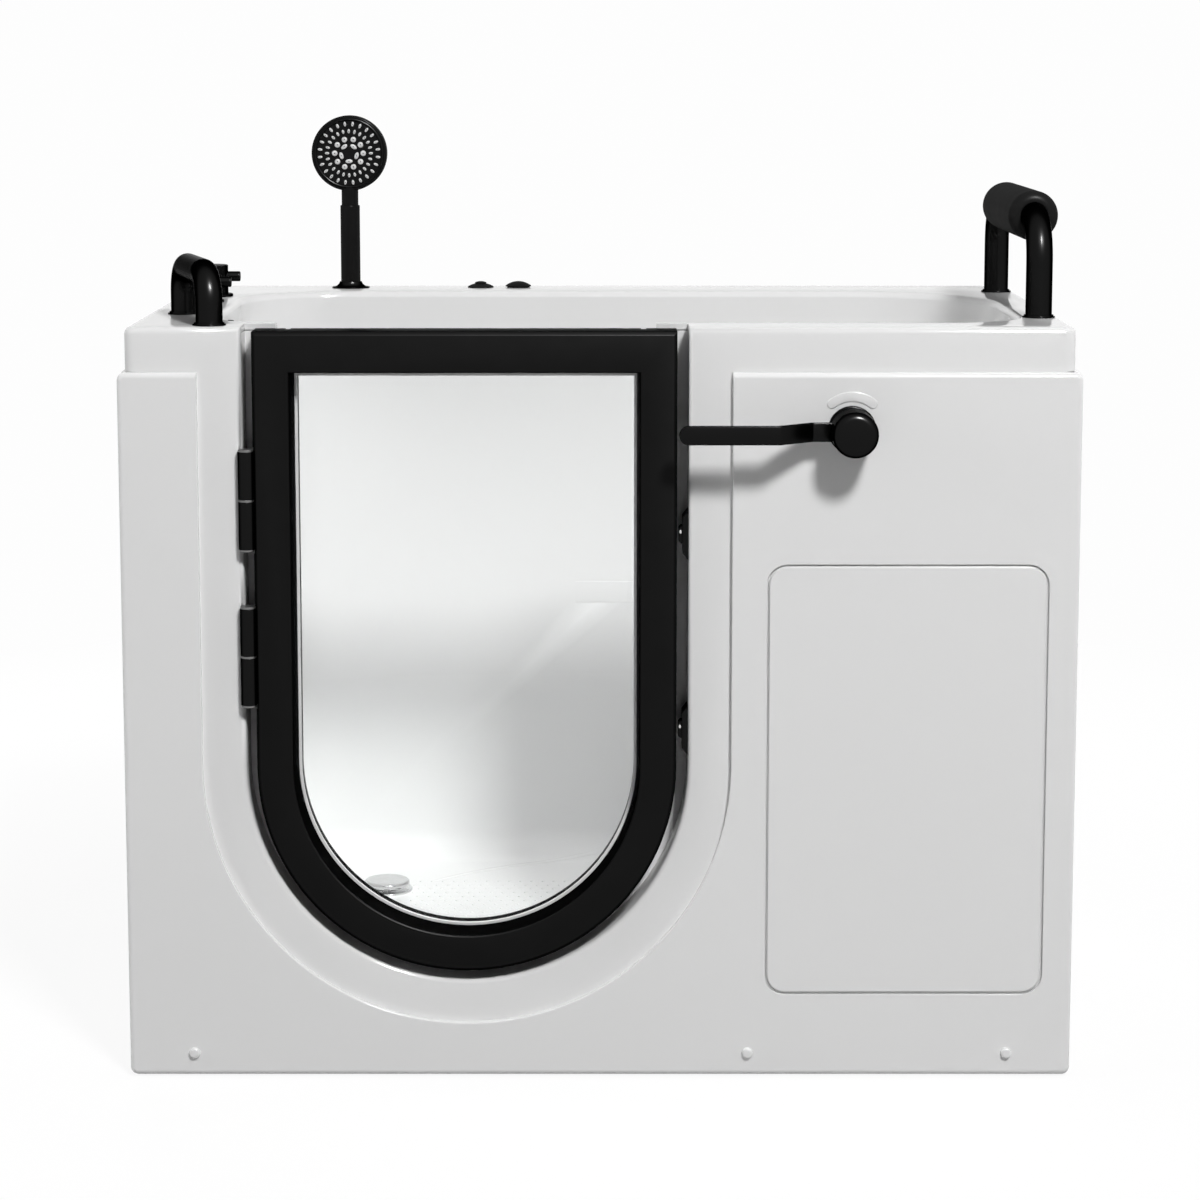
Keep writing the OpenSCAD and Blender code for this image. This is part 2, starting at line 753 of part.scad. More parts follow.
module left_end_panel() {
    color("white") translate([-tub_w / 2, back_y, panel_floor_gap]) rotate([0, 0, -90])
        pan(end_panel_w, rim_z - panel_floor_gap, panel_corner_r, end_return);
}

module right_end_panel() {
    color("white") translate([tub_w / 2, back_y - end_panel_w, panel_floor_gap]) rotate([0, 0, 90])
        pan(end_panel_w, rim_z - panel_floor_gap, panel_corner_r, end_return);
}

// Screws that hold the front panel to its brackets.
module apron_screws() {
    color("silver") for (x = screw_x) translate([x, front_y, screw_z]) rotate([-90, 0, 0]) {
        translate([0, 0, -2]) cylinder(r = screw_r + 2.5, h = 2, $fn = 32);
        cylinder(r = screw_r, h = panel_t + bracket_t + 6, $fn = 32);
    }
}

// White caps that snap over the screw heads.
module apron_screw_caps() {
    color("white") for (x = screw_x) translate([x, front_y, screw_z]) rotate([90, 0, 0]) difference() {
        rotate_extrude($fn = 48) domed(cap_r, 5, 3);
        translate([0, 0, -1]) cylinder(r = screw_r + 2.8, h = 3.3, $fn = 32);
    }
}

// Half section of a cylinder with a rounded upper edge.
module domed(r, h, e) {
    square([r, h - e]);
    square([r - e, h]);
    intersection() {
        translate([r - e, h - e]) circle(e, $fn = 48);
        translate([r - e, h - e]) square([e, e]);
    }
}

// ---------- steel frame ----------

module front_rail() {
    color("silver") tube_x(-side_rail_x - tube_s, side_rail_x + tube_s, rail_front_y, rail_z);
    color("silver") panel_brackets();
}

// Brackets that take the front panel's screws, welded to the front rail.
module panel_brackets() {
    for (x = screw_x) {
        difference() {
            translate([x - bracket_w / 2, front_y + panel_t, screw_z - 14])
                cube([bracket_w, bracket_t, rail_z + 20 - screw_z + 14]);
            translate([x, front_y, screw_z]) rotate([-90, 0, 0])
                cylinder(r = screw_r, h = 3 * panel_t, $fn = 32);
        }
        translate([x - bracket_w / 2, front_y + panel_t, rail_z + 20 - bracket_t])
            cube([bracket_w, rail_front_y - front_y - panel_t, bracket_t]);
    }
}

module back_rail() {
    color("silver") tube_x(-side_rail_x - tube_s, side_rail_x + tube_s, rail_back_y, rail_z);
}

module side_rail(x) {
    color("silver") tube_y(rail_front_y + tube_s, rail_back_y, x, rail_z);
}

module cross_rail(x) {
    color("silver") tube_y(rail_front_y, rail_back_y + tube_s, x - tube_s / 2, cross_z);
}

module corner_posts() {
    color("silver") for (x = [-rail_x - tube_s, rail_x], y = [rail_front_y, rail_back_y])
        translate([x, y, rail_z + tube_s]) square_tube(under_deck_z - rail_z - tube_s);
}

// Legs that carry the seat.
module seat_legs() {
    color("silver") for (y = [basin_y0 + seat_leg_front, basin_y1 - seat_leg_back])
        translate([seat_leg_x - tube_s / 2, y, cross_z + tube_s])
            square_tube(seat_z - shell_t - cross_z - tube_s);
}

module at_feet() {
    for (x = [-rail_x - tube_s / 2 + foot_in, rail_x + tube_s / 2 - foot_in], y =
        [rail_front_y + tube_s / 2, rail_back_y + tube_s / 2])
        translate([x, y, 0]) children();
}

module levelling_feet() {
    color("dimgray") at_feet() {
        rotate_extrude($fn = 64) union() {
            domed(foot_r, 8, 3);
            square([foot_r * 0.5, 14]);
            square([stem_r, rail_z]);
        }
    }
}

module foot_lock_nuts() {
    color("silver") at_feet() translate([0, 0, rail_z - 8]) difference() {
        cylinder(r = stem_r * 1.9, h = 8, $fn = 6);
        translate([0, 0, -1]) cylinder(r = stem_r, h = 10, $fn = 48);
    }
}

// ---------- door ----------

// Section of the frame's member: x runs inwards from the outer edge, y backwards from the face.
module frame_section(w) {
    b = frame_bevel;
    bb = frame_back_bevel;
    polygon([[b, 0], [w - reveal_edge, 0], [w, reveal_edge], [w + reveal_taper, reveal_d], [w - glass_lap, reveal_d],
        [w - glass_lap, door_t], [bb, door_t], [0, door_t - bb], [0, b]]);
}

// Sweeps a section round the door's U: both legs and the half circle. x is the distance inwards from r.
module u_sweep(r, top) {
    translate([door_x, door_y, arc_z]) rotate([-90, 0, 0]) rotate_extrude(angle = 180, $fn = fine)
        translate([r, 0]) mirror([1, 0]) children();
    translate([door_x - r, door_y, arc_z]) linear_extrude(top - arc_z) children();
    translate([door_x + r, door_y, arc_z]) mirror([1, 0, 0]) linear_extrude(top - arc_z) children();
}

// Sweeps a section along the door's top between two distances from the centre line.
module top_sweep(half, top) {
    translate([door_x + half, door_y, top]) mirror([0, 0, 1]) rotate([0, -90, 0])
        linear_extrude(2 * half) children();
}

module door_frame() {
    color([0.1, 0.1, 0.1]) difference() {
        union() {
            u_sweep(door_r, door_top) frame_section(face_w);
            top_sweep(door_r - face_w + reveal_edge + eps, door_top) frame_section(top_bar);
        }
        // bevels along the top edge
        translate([door_x - door_r - 1, door_y - 1, door_top + 1]) rotate([0, 90, 0])
            linear_extrude(2 * door_r + 2)
            polygon([[0, 0], [frame_bevel + 2, 0], [0, frame_bevel + 2]]);
        translate([door_x - door_r - 1, door_y + door_t + 1, door_top + 1]) rotate([0, 90, 0])
            linear_extrude(2 * door_r + 2)
            polygon([[0, 0], [frame_back_bevel + 2, 0], [0, -frame_back_bevel - 2]]);
        for (z = hinge_z) translate([axis_x, axis_y, z - barrel_l / 2 - 3])
            cylinder(r = scallop_r, h = barrel_l + 6, $fn = fine);
        for (z = [bolt_lower_z, bolt_upper_z])
            translate([door_x + door_r - bolt_travel - 3, bolt_y - bolt_play, z - bolt_h / 2 - bolt_play])
                cube([bolt_travel + 4, bolt_d + 2 * bolt_play, bolt_h + 2 * bolt_play]);
    }
}

// A flat slab of the door's U shape, for the glass.
module glass_slab(r, top, y0, y1) {
    translate([door_x, y1, arc_z]) rotate([90, 0, 0]) linear_extrude(y1 - y0) {
        circle(r, $fn = fine);
        translate([-r, 0]) square([2 * r, top - arc_z]);
    }
}

module door_glass() {
    color([0.8, 0.9, 0.9, 0.4])
        glass_slab(glass_r - glass_play, window_top + glass_lap - glass_play, glass_y, glass_y + glass_t);
}

// Pale bead between the frame's reveal and the glass.
module glass_bead() {
    t0 = reveal_taper * (reveal_d - bead_d) / reveal_d;
    color("whitesmoke") {
        u_sweep(door_r, window_top - reveal_taper) translate([face_w, 0])
            polygon([[t0, reveal_d - bead_d], [reveal_taper + bead_w, reveal_d - bead_d],
                [reveal_taper + bead_w, reveal_d], [reveal_taper, reveal_d]]);
        top_sweep(window_r - reveal_taper, window_top) polygon([[t0, reveal_d - bead_d],
            [reveal_taper + bead_w, reveal_d - bead_d], [reveal_taper + bead_w, reveal_d],
                [reveal_taper, reveal_d]]);
    }
}

// Black ring that holds the glass from behind.
module glass_retainer() {
    y0 = reveal_d + glass_t;
    color([0.08, 0.08, 0.08]) {
        u_sweep(door_r, window_top + glass_lap) translate([face_w - glass_lap, y0])
            square([glass_lap + reveal_taper + bead_w, door_t - y0]);
        top_sweep(window_r + glass_lap - eps, window_top + glass_lap) translate([0, y0])
            square([glass_lap + reveal_taper + bead_w, door_t - y0]);
    }
}

// Rubber seal on the door's back that meets the stop flange.
module door_seal() {
    color([0.05, 0.05, 0.05]) u_sweep(door_r, door_top - frame_back_bevel) translate([seal_in, door_t]) {
        square([seal_w, seal_t - seal_w / 4]);
        translate([seal_w / 2, seal_t - seal_w / 2]) intersection() {
            circle(seal_w / 2, $fn = 48);
            translate([-seal_w / 2, 0]) square([seal_w, seal_w / 2]);
        }
    }
}

// ---------- hinges ----------

module at_hinges() {
    for (z = hinge_z) translate([axis_x, axis_y, z]) children();
}

module jamb_hinge_leaves() {
    z0 = -barrel_l / 2 + washer_t;
    h = barrel_l / 2 - 1.5 * washer_t;
    wall = door_x - jamb_r - axis_x;
    color([0.1, 0.1, 0.1]) at_hinges() translate([0, 0, z0]) difference() {
        union() {
            cylinder(r = barrel_r, h = h, $fn = fine);
            translate([wall, hinge_pin_r + 1, 0]) cube([leaf_t, leaf_d, h]);
        }
        translate([0, 0, -1]) cylinder(r = hinge_pin_r, h = h + 2, $fn = 48);
    }
}

module door_hinge_leaves() {
    z0 = washer_t / 2 + gap;
    h = barrel_l / 2 - 1.5 * washer_t - 2 * gap;
    edge = door_x - door_r - axis_x;
    color([0.1, 0.1, 0.1]) at_hinges() translate([0, 0, z0]) difference() {
        union() {
            cylinder(r = barrel_r, h = h, $fn = fine);
            translate([edge - leaf_t, 0, 0]) cube([leaf_t, leaf_d, h]);
        }
        translate([0, 0, -1]) cylinder(r = hinge_pin_r + pin_play, h = h + 2, $fn = 48);
    }
}

module hinge_pins() {
    color("silver") at_hinges() {
        translate([0, 0, -barrel_l / 2]) cylinder(r = barrel_r - 0.6, h = washer_t, $fn = fine);
        translate([0, 0, barrel_l / 2 - washer_t]) cylinder(r = barrel_r - 0.6, h = washer_t, $fn = fine);
        translate([0, 0, -barrel_l / 2]) cylinder(r = hinge_pin_r, h = barrel_l, $fn = fine);
    }
}

module hinge_washers() {
    color("silver") at_hinges() translate([0, 0, -washer_t / 2]) difference() {
        cylinder(r = barrel_r - 0.3, h = washer_t, $fn = fine);
        translate([0, 0, -1]) cylinder(r = hinge_pin_r, h = washer_t + 2, $fn = 48);
    }
}

// ---------- latch ----------

// A plate on the jamb with sloping ends and a guide behind it for the latch bolt.
module keeper(z) {
    x1 = door_x + jamb_r;
    wall = 3;
    color([0.1, 0.1, 0.1]) difference() {
        union() {
            translate([x1, bolt_y + bolt_d + 7, z]) rotate([90, 0, 0]) linear_extrude(bolt_d + 14)
                polygon([[0, -keeper_h / 2], [-keeper_t, -keeper_h / 2 + 9],
                    [-keeper_t, keeper_h / 2 - 9], [0, keeper_h / 2]]);
            translate([x1 - eps, bolt_y - wall, z - bolt_h / 2 - wall])
                cube([guide_l, bolt_d + 2 * wall, bolt_h + 2 * wall]);
        }
        translate([x1 - keeper_t - 1, bolt_y - gap, z - bolt_h / 2 - gap])
            cube([guide_l + keeper_t + 2, bolt_d + 2 * gap, bolt_h + 2 * gap]);
    }
}

// A bolt with a chamfered nose and a cross pin near its tip.
module latch_bolt(z) {
    color([0.12, 0.12, 0.12]) {
        difference() {
            translate([bolt_tip_x, bolt_y, z - bolt_h / 2]) cube([carriage_x - bolt_tip_x, bolt_d, bolt_h]);
            for (s = [-1, 1]) translate([bolt_tip_x, bolt_y - 1, z + s * bolt_h / 2]) rotate([0, 45, 0])
                translate([-2, 0, -2]) cube([4, bolt_d + 2, 4]);
        }
        translate([bolt_tip_x + 2.2, bolt_y - 1, z + 4]) rotate([-90, 0, 0])
            cylinder(r = 2, h = 4, $fn = 48);
    }
}

// Involute of the base circle: the angle that it adds at a given radius, in degrees.
function involute(base, r) = let (roll = acos(base / r)) tan(roll) * 180 / PI - roll;

// One tooth of the pinion, pointing along +X.
module pinion_tooth() {
    base = pitch_r * cos(pressure_angle);
    tip = pitch_r + tooth_module;
    half = 90 / pinion_teeth + involute(base, pitch_r) - tooth_play / 2 / pitch_r * 180 / PI;
    steps = 5;
    flank = [for (i = [0:steps]) let (r = base + (tip - base) * i / steps, a = half - involute(base, r))
        [r * cos(a), r * sin(a)]];
    root = pitch_r - 1.25 * tooth_module;
    polygon(concat([[root - 1, -(root - 1) * sin(half) * 0.9]],
        [for (p = flank) [p[0], -p[1]]],
        [for (i = [steps:-1:0]) flank[i]],
        [[root - 1, (root - 1) * sin(half) * 0.9]]));
}

// Spindle that passes through the panel, with the pinion that drives the rack.
module latch_pinion() {
    color("silver") translate([hub_x, 0, hub_z]) {
        translate([0, rack_y + tooth_w + 6, 0]) rotate([90, 0, 0])
            cylinder(r = spindle_r, h = rack_y + tooth_w + 6 - front_y + spindle_out, $fn = fine);
        translate([0, rack_y + tooth_w + 0.5, 0]) rotate([90, 0, 0]) linear_extrude(tooth_w + 1) {
            circle(pitch_r - 1.25 * tooth_module, $fn = fine);
            for (i = [0:pinion_teeth - 1]) rotate(90 + i * 360 / pinion_teeth) pinion_tooth();
        }
    }
}

// Carriage with the rack above the pinion and the upright bar that moves both bolts.
module latch_rack() {
    pitch = PI * tooth_module;
    line = hub_z + pitch_r;
    count = ceil((bolt_travel + 16) / pitch / 2) * 2 + 2;
    bar_w = 20;
    bar_x = carriage_x + bar_w - 2;
    tip = tooth_module;
    root = 1.25 * tooth_module;
    slope = tan(pressure_angle);
    x_end = hub_x + bolt_travel + 14;
    color("silver") difference() {
        union() {
            translate([carriage_x, rack_y, bolt_lower_z - bolt_h / 2])
                cube([bar_w, tooth_w, line + 14 - bolt_lower_z + bolt_h / 2]);
            translate([bar_x, rack_y, line - tip]) cube([x_end - bar_x, tooth_w, 14 + tip]);
        }
        // clearance below the rack's toothed length, then the gaps between the teeth
        translate([bar_x + 1, rack_y - 1, line - tip - 1])
            cube([hub_x - 16 - bar_x, tooth_w + 2, 1 + tip + root]);
        for (i = [0:count]) {
            x = hub_x + (i - count / 2 + 3) * pitch;
            translate([x, rack_y + tooth_w + 1, line]) rotate([90, 0, 0]) linear_extrude(tooth_w + 2)
                polygon([[-pitch / 4 - (tip + 1) * slope, -tip - 1],
                    [pitch / 4 + (tip + 1) * slope, -tip - 1],
                    [pitch / 4 - root * slope, root], [-pitch / 4 + root * slope, root]]);
        }
    }
}

// Fixed bush and cover ring on the front panel.
module lever_rosette() {
    color([0.1, 0.1, 0.1]) translate([hub_x, front_y, hub_z]) rotate([90, 0, 0]) difference() {
        union() {
            rotate_extrude($fn = fine) domed(hub_r + 1.5, rosette_t, 2);
            translate([0, 0, -panel_t - 12]) cylinder(r = spindle_r + rosette_wall - 0.1, h = panel_t +
                12 + eps, $fn = fine);
            translate([0, 0, -panel_t - 6]) cylinder(r = spindle_r + rosette_wall + 6, h = 6, $fn = fine);
        }
        translate([0, 0, -panel_t - 20]) cylinder(r = spindle_r + pin_play, h = 60, $fn = fine);
    }
}

module lever_hub() {
    depth = hub_reach - rosette_t - gap;
    color([0.1, 0.1, 0.1]) translate([hub_x, front_y - rosette_t - gap, hub_z]) rotate([90, 0, 0])
        difference() {
        union() {
            rotate_extrude($fn = fine) domed(hub_r, depth - 3, 10);
            translate([0, 0, depth - 3 - eps]) rotate_extrude($fn = fine) intersection() {
                translate([0, 3 - hub_dome_r]) circle(hub_dome_r, $fn = 200);
                square([hub_r, 4]);
            }
        }
        translate([0, 0, -1]) cylinder(r = spindle_r, h = spindle_out - rosette_t - gap + 1, $fn = fine);
    }
}

// Flat lever that jogs back to the hub.
module lever_arm() {
    y0 = lever_front_y;
    y1 = front_y - 28;
    t = lever_t;
    xa = hub_x - jog_far;
    xb = hub_x - jog_near;
    color([0.1, 0.1, 0.1]) difference() {
        intersection() {
            translate([0, 0, hub_z - lever_h / 2]) linear_extrude(lever_h)
                polygon([[lever_tip_x, y0], [xa, y0], [xb, y1], [hub_x, y1], [hub_x, y1 + t],
                    [xb - t * 0.35, y1 + t],
                    [xa - t * 0.35, y0 + t], [lever_tip_x, y0 + t]]);
            translate([0, front_y, hub_z]) rotate([90, 0, 0]) linear_extrude(hub_reach) {
                translate([lever_tip_x + lever_h / 2, 0]) circle(lever_h / 2, $fn = fine);
                translate([lever_tip_x + lever_h / 2, -lever_h / 2])
                    square([hub_x - lever_tip_x - lever_h / 2, lever_h]);
            }
        }
        translate([hub_x, front_y + 1, hub_z]) rotate([90, 0, 0])
            cylinder(r = hub_r, h = hub_reach + 2, $fn = fine);
    }
}

// ---------- grab bars ----------

module ring_section(r, t) {
    difference() {
        circle(r, $fn = fine);
        circle(r - t, $fn = fine);
    }
}

// An upright hoop of round tube in X and Z: posts at x = 0 and x = span.
module hoop(span, height, bend) {
    for (x = [0, span]) translate([x, 0, 0]) linear_extrude(height - bend) ring_section(bar_r, bar_wall);
    translate([bend, 0, height]) rotate([0, 90, 0]) linear_extrude(span - 2 * bend)
        ring_section(bar_r, bar_wall);
    translate([bend, 0, height - bend]) rotate([90, 0, 180]) rotate_extrude(angle = 90, $fn = fine)
        translate([bend, 0]) ring_section(bar_r, bar_wall);
    translate([span - bend, 0, height - bend]) rotate([90, 0, 0]) rotate_extrude(angle = 90, $fn = fine)
        translate([bend, 0]) ring_section(bar_r, bar_wall);
}

// A spun cover ring at the foot of a post.
module foot_ring() {
    rotate_extrude($fn = fine) difference() {
        union() {
            square([bar_r + 4, 1.5]);
            square([bar_r + 2, 3.5]);
        }
        square([bar_r, 20]);
    }
}

module left_grab_bar() {
    d = left_bar[1] - left_bar[0];
    color([0.1, 0.1, 0.1]) translate([left_bar[0][0], left_bar[0][1], deck_z])
        rotate([0, 0, atan2(d[1], d[0])])
        hoop(norm(d), left_bar_h, left_bend);
}

module left_grab_flanges() {
    color([0.1, 0.1, 0.1]) for (p = left_bar) translate([p[0], p[1], deck_z]) foot_ring();
}

module right_grab_bar() {
    color([0.1, 0.1, 0.1]) translate([right_bar_x, right_bar_y, deck_z]) rotate([0, 0, 90])
        hoop(right_bar_l, right_bar_h, right_bend);
}

module right_grab_flanges() {
    color([0.1, 0.1, 0.1]) for (y = [0, right_bar_l]) translate([right_bar_x, right_bar_y + y, deck_z])
        foot_ring();
}

// Foam roll on the right grab bar.
module grip_roll() {
    e = 5;
    color([0.12, 0.12, 0.12]) translate([right_bar_x, right_bar_y + right_bend, deck_z + right_bar_h])
        rotate([-90, 0, 0])
        rotate_extrude($fn = fine) difference() {
            union() {
                translate([0, e]) square([roll_r, roll_l - 2 * e]);
                square([roll_r - e, roll_l]);
                for (y = [e, roll_l - e]) translate([roll_r - e, y]) circle(e, $fn = 48);
            }
            translate([0, -1]) square([bar_r + gap, roll_l + 2]);
        }
}

// ---------- deck fittings ----------

// Fixed part of a tap: flange, base, shank and back nut under the deck.
module tap_body(y) {
    color([0.1, 0.1, 0.1]) translate([tap_x, y, deck_z]) difference() {
        union() {
            rotate_extrude($fn = fine) domed(tap_r + 6.5, 4, 2);
            cylinder(r = tap_r, h = tap_split, $fn = fine);
            translate([0, 0, -tap_shank]) cylinder(r = tail_r + 1.5, h = tap_shank + eps, $fn = fine);
            translate([0, 0, -tap_shank - tap_tail]) cylinder(r = tail_r, h = tap_tail + eps, $fn = fine);
            translate([0, 0, -shell_t - tap_nut]) cylinder(r = tap_r, h = tap_nut, $fn = 6);
        }
        translate([0, 0, tap_split - 16]) cylinder(r = 6 + pin_play, h = 20, $fn = 48);
    }
}

// Turning top of a tap with its short lever.
module tap_lever(y) {
    color([0.1, 0.1, 0.1]) translate([tap_x, y, deck_z + tap_split + gap]) {
        rotate_extrude($fn = fine) domed(tap_r, tap_h - tap_split - gap, 1.5);
        translate([0, 0, -14]) cylinder(r = 6, h = 14 + eps, $fn = 48);
        translate([0, 0, (tap_h - tap_split) / 2 - 1]) rotate([0, 90, 0]) rotate_extrude($fn = 64)
            domed(7, tap_reach, 1.5);
    }
}

// Thin flared socket that holds the hand shower, with its shank and nut under the deck.
module shower_holder() {
    r = handle_r;
    color([0.1, 0.1, 0.1]) translate([shower_x, shower_y, deck_z]) difference() {
        union() {
            rotate_extrude($fn = fine) difference() {
                square([r + 13, socket_h]);
                translate([r + 1.2 + flare_r, flare_r + 1.4]) circle(flare_r, $fn = 96);
                translate([r + 1.2 + flare_r, 1.4]) square([20, socket_h]);
            }
            translate([0, 0, -40]) cylinder(r = r - 1, h = 40 + eps, $fn = fine);
            translate([0, 0, -shell_t - tap_nut]) cylinder(r = r + 8, h = tap_nut, $fn = 6);
        }
        translate([0, 0, 2]) cylinder(r = r + 0.1, h = 20, $fn = fine);
        translate([0, 0, -41]) cylinder(r = r - 5, h = 60, $fn = fine);
    }
}

module shower_handset() {
    z0 = deck_z + 2 + gap;
    zc = deck_z + shower_top - head_r;
    neck_z = z0 + handle_l;
    color([0.1, 0.1, 0.1]) difference() {
        union() {
            translate([shower_x, shower_y, z0]) rotate_extrude($fn = fine) domed(handle_r, handle_l, 1.5);
            translate([shower_x, shower_y, neck_z - eps])
                cylinder(r = handle_r - 2, h = zc - head_r * 0.8 - neck_z, $fn = fine);
            translate([shower_x, shower_y + head_t / 2, zc]) rotate([90, 0, 0]) rotate_extrude($fn = fine) {
                domed(head_r, head_t, 3);
                square([head_r - 2, head_t]);
            }
        }
        translate([shower_x, shower_y - head_t / 2 + 3, zc]) rotate([90, 0, 0])
            cylinder(r = head_r - 5, h = 6, $fn = fine);
    }
}

// Round plate that carries the spray nozzles.
module shower_face() {
    zc = deck_z + shower_top - head_r;
    color([0.15, 0.15, 0.15]) translate([shower_x, shower_y - head_t / 2 + 3, zc]) rotate([90, 0, 0])
        rotate_extrude($fn = fine) domed(head_r - 5, 2.6, 0.8);
}

// Half section of a disc with a crowned top.
module crowned(r, edge, h) {
    big = (r ^ 2 + (h - edge) ^ 2) / (2 * (h - edge));
    square([r, edge]);
    intersection() {
        translate([0, h - big]) circle(big, $fn = 240);
        square([r, h]);
    }
}

// Fixed collar of an air control: its crown is edge high at the rim and h high in the middle.
module air_collar(x, r, edge, h) {
    color([0.1, 0.1, 0.1]) translate([x, air_y, deck_z]) rotate_extrude($fn = fine) difference() {
        union() {
            crowned(r, edge, h);
            translate([0, -35]) square([air_r * 0.62, 36]);
        }
        translate([0, -12]) square([air_in + 0.1, 30]);
    }
}

module air_button() {
    color([0.12, 0.12, 0.12]) translate([air_x[0], air_y, deck_z - 8]) rotate_extrude($fn = fine)
        crowned(air_in, air_h + 6.2, air_h + 8);
}

module air_knob() {
    z0 = 1.4 + gap;
    color([0.12, 0.12, 0.12]) translate([air_x[1], air_y, deck_z]) {
        translate([0, 0, -8]) cylinder(r = air_in, h = 8 + z0 + eps, $fn = fine);
        translate([0, 0, z0]) rotate_extrude($fn = fine) crowned(air_r, 1, air_h - z0);
    }
}

// Blower on the seat's rail that feeds air up to the seat.
module air_blower() {
    plate_t = 4;
    foot_z = cross_z + tube_s;
    axle_z = foot_z + fan_r + plate_t + 2;
    saddle_w = motor_r * 1.2;
    color("dimgray") translate([seat_leg_x, (basin_y0 + basin_y1) / 2, 0]) {
        translate([-fan_r * 0.85, -motor_l * 0.78, foot_z]) cube([fan_r * 1.7, motor_l * 1.34, plate_t]);
        for (y = [-motor_l * 0.67, -motor_l * 0.22])
            translate([-saddle_w / 2, y, foot_z + plate_t - eps])
                cube([saddle_w, 12, axle_z - foot_z - motor_r * 0.67]);
        translate([0, fan_w * 0.45, axle_z]) rotate([90, 0, 0]) rotate_extrude($fn = fine)
            domed(motor_r, motor_l, 8);
        translate([0, fan_w * 1.33, axle_z]) rotate([90, 0, 0]) cylinder(r = fan_r, h = fan_w, $fn = fine);
        translate([-fan_r * 0.66, fan_w * 0.83, axle_z])
            cylinder(r = riser_r, h = seat_z - shell_t - axle_z, $fn = fine);
    }
}

// ---------- waste ----------

module drain_flange() {
    color("silver") translate([drain_x, drain_y, well_z]) {
        difference() {
            union() {
                rotate_extrude($fn = fine) domed(drain_cap_r + 4, 3, 1.5);
                translate([0, 0, -shell_t - 18]) cylinder(r = waste_r + 4, h = shell_t + 18 + eps, $fn =
                    fine);
            }
            translate([0, 0, -shell_t - 19]) cylinder(r = waste_r, h = shell_t + 30, $fn = fine);
        }
        difference() {
            union() {
                for (a = [0:90:270]) rotate([0, 0, a]) translate([0, -1.5, -6]) cube([waste_r + 1, 3, 6]);
                translate([0, 0, -16]) cylinder(r = 7, h = 16, $fn = 48);
            }
            translate([0, 0, -20]) cylinder(r = 4 + pin_play, h = 30, $fn = 48);
        }
    }
}

module drain_cap() {
    color("silver") translate([drain_x, drain_y, well_z + 3 + drain_lift]) {
        rotate_extrude($fn = fine) domed(drain_cap_r, 6, 3.5);
        translate([0, 0, -26]) cylinder(r = 4, h = 26 + eps, $fn = 48);
    }
}

module drain_body() {
    h = well_z - shell_t - rail_z + 4;
    color([0.9, 0.9, 0.88]) translate([drain_x, drain_y, rail_z - 4]) difference() {
        union() {
            cylinder(r = waste_r + 7, h = h, $fn = fine);
            translate([0, 0, h - 4]) cylinder(r = waste_r + 14, h = 4, $fn = fine);
        }
        translate([0, 0, 4]) cylinder(r = waste_r + 4, h = h, $fn = fine);
        translate([0, 0, -1]) cylinder(r = waste_r - pipe_t, h = h, $fn = fine);
    }
}

// Waste pipe from the drain to the tail behind the bathtub.
module waste_trap() {
    bend = waste_r * 1.5;
    color([0.9, 0.9, 0.88]) translate([drain_x, drain_y, waste_z]) {
        translate([0, 0, bend]) linear_extrude(rail_z - 4 - waste_z - bend) ring_section(waste_r, pipe_t);
        translate([0, bend, bend]) rotate([0, 90, 0]) rotate([0, 0, 270])
            rotate_extrude(angle = 90, $fn = fine)
            translate([bend, 0]) ring_section(waste_r, pipe_t);
        translate([0, bend, 0]) rotate([-90, 0, 0]) linear_extrude(tail_y - drain_y - bend)
            ring_section(waste_r, pipe_t);
        translate([0, tail_y - waste_tail - tail_collar - drain_y, 0]) rotate([-90, 0, 0])
            linear_extrude(tail_collar) ring_section(waste_r + 4, pipe_t + 4);
    }
}

module overflow_plate() {
    color([0.1, 0.1, 0.1]) translate([overflow_x, overflow_y, overflow_z]) rotate([0, 90, 0]) difference() {
        union() {
            rotate_extrude($fn = fine) domed(overflow_r, 8, 3);
            translate([0, 0, -shell_t - 14]) cylinder(r = waste_r - 2, h = shell_t + 14 + eps, $fn = fine);
        }
        translate([0, 0, -2]) cylinder(r = 6 + pin_play, h = 20, $fn = 48);
    }
}

module overflow_knob() {
    color([0.1, 0.1, 0.1]) translate([overflow_x + 8 + gap, overflow_y, overflow_z]) rotate([0, 90, 0])
        difference() {
        union() {
            rotate_extrude($fn = fine) domed(overflow_r - 4, 26, 4);
            translate([0, 0, -8 - gap]) cylinder(r = 6, h = 8 + gap + eps, $fn = 48);
        }
        for (a = [0:60:300]) rotate([0, 0, a]) translate([overflow_r + 3, 0, 5])
            cylinder(r = 10, h = 30, $fn = 48);
    }
}

// Down pipe from the overflow and its run under the foot well, as a solid of radius r.
module overflow_run(r) {
    bend = waste_r * 1.6;
    run_z = cross_z - waste_r - 2;
    translate([overflow_pipe_x, overflow_y, run_z + bend])
        cylinder(r = r, h = overflow_z - run_z - bend, $fn = fine);
    translate([overflow_pipe_x + bend, overflow_y, run_z + bend]) rotate([90, 0, 0]) rotate([0, 0, 180])
        elbow(r, bend);
    translate([overflow_pipe_x + bend, overflow_y, run_z]) rotate([0, 90, 0])
        cylinder(r = r, h = drain_x - overflow_pipe_x - 2 * bend, $fn = fine);
    translate([drain_x - bend, overflow_y + bend, run_z]) rotate([0, 0, 270]) elbow(r, bend);
    translate([drain_x, overflow_y + bend, run_z]) rotate([-90, 0, 0])
        cylinder(r = r, h = drain_y - overflow_y - bend, $fn = fine);
}

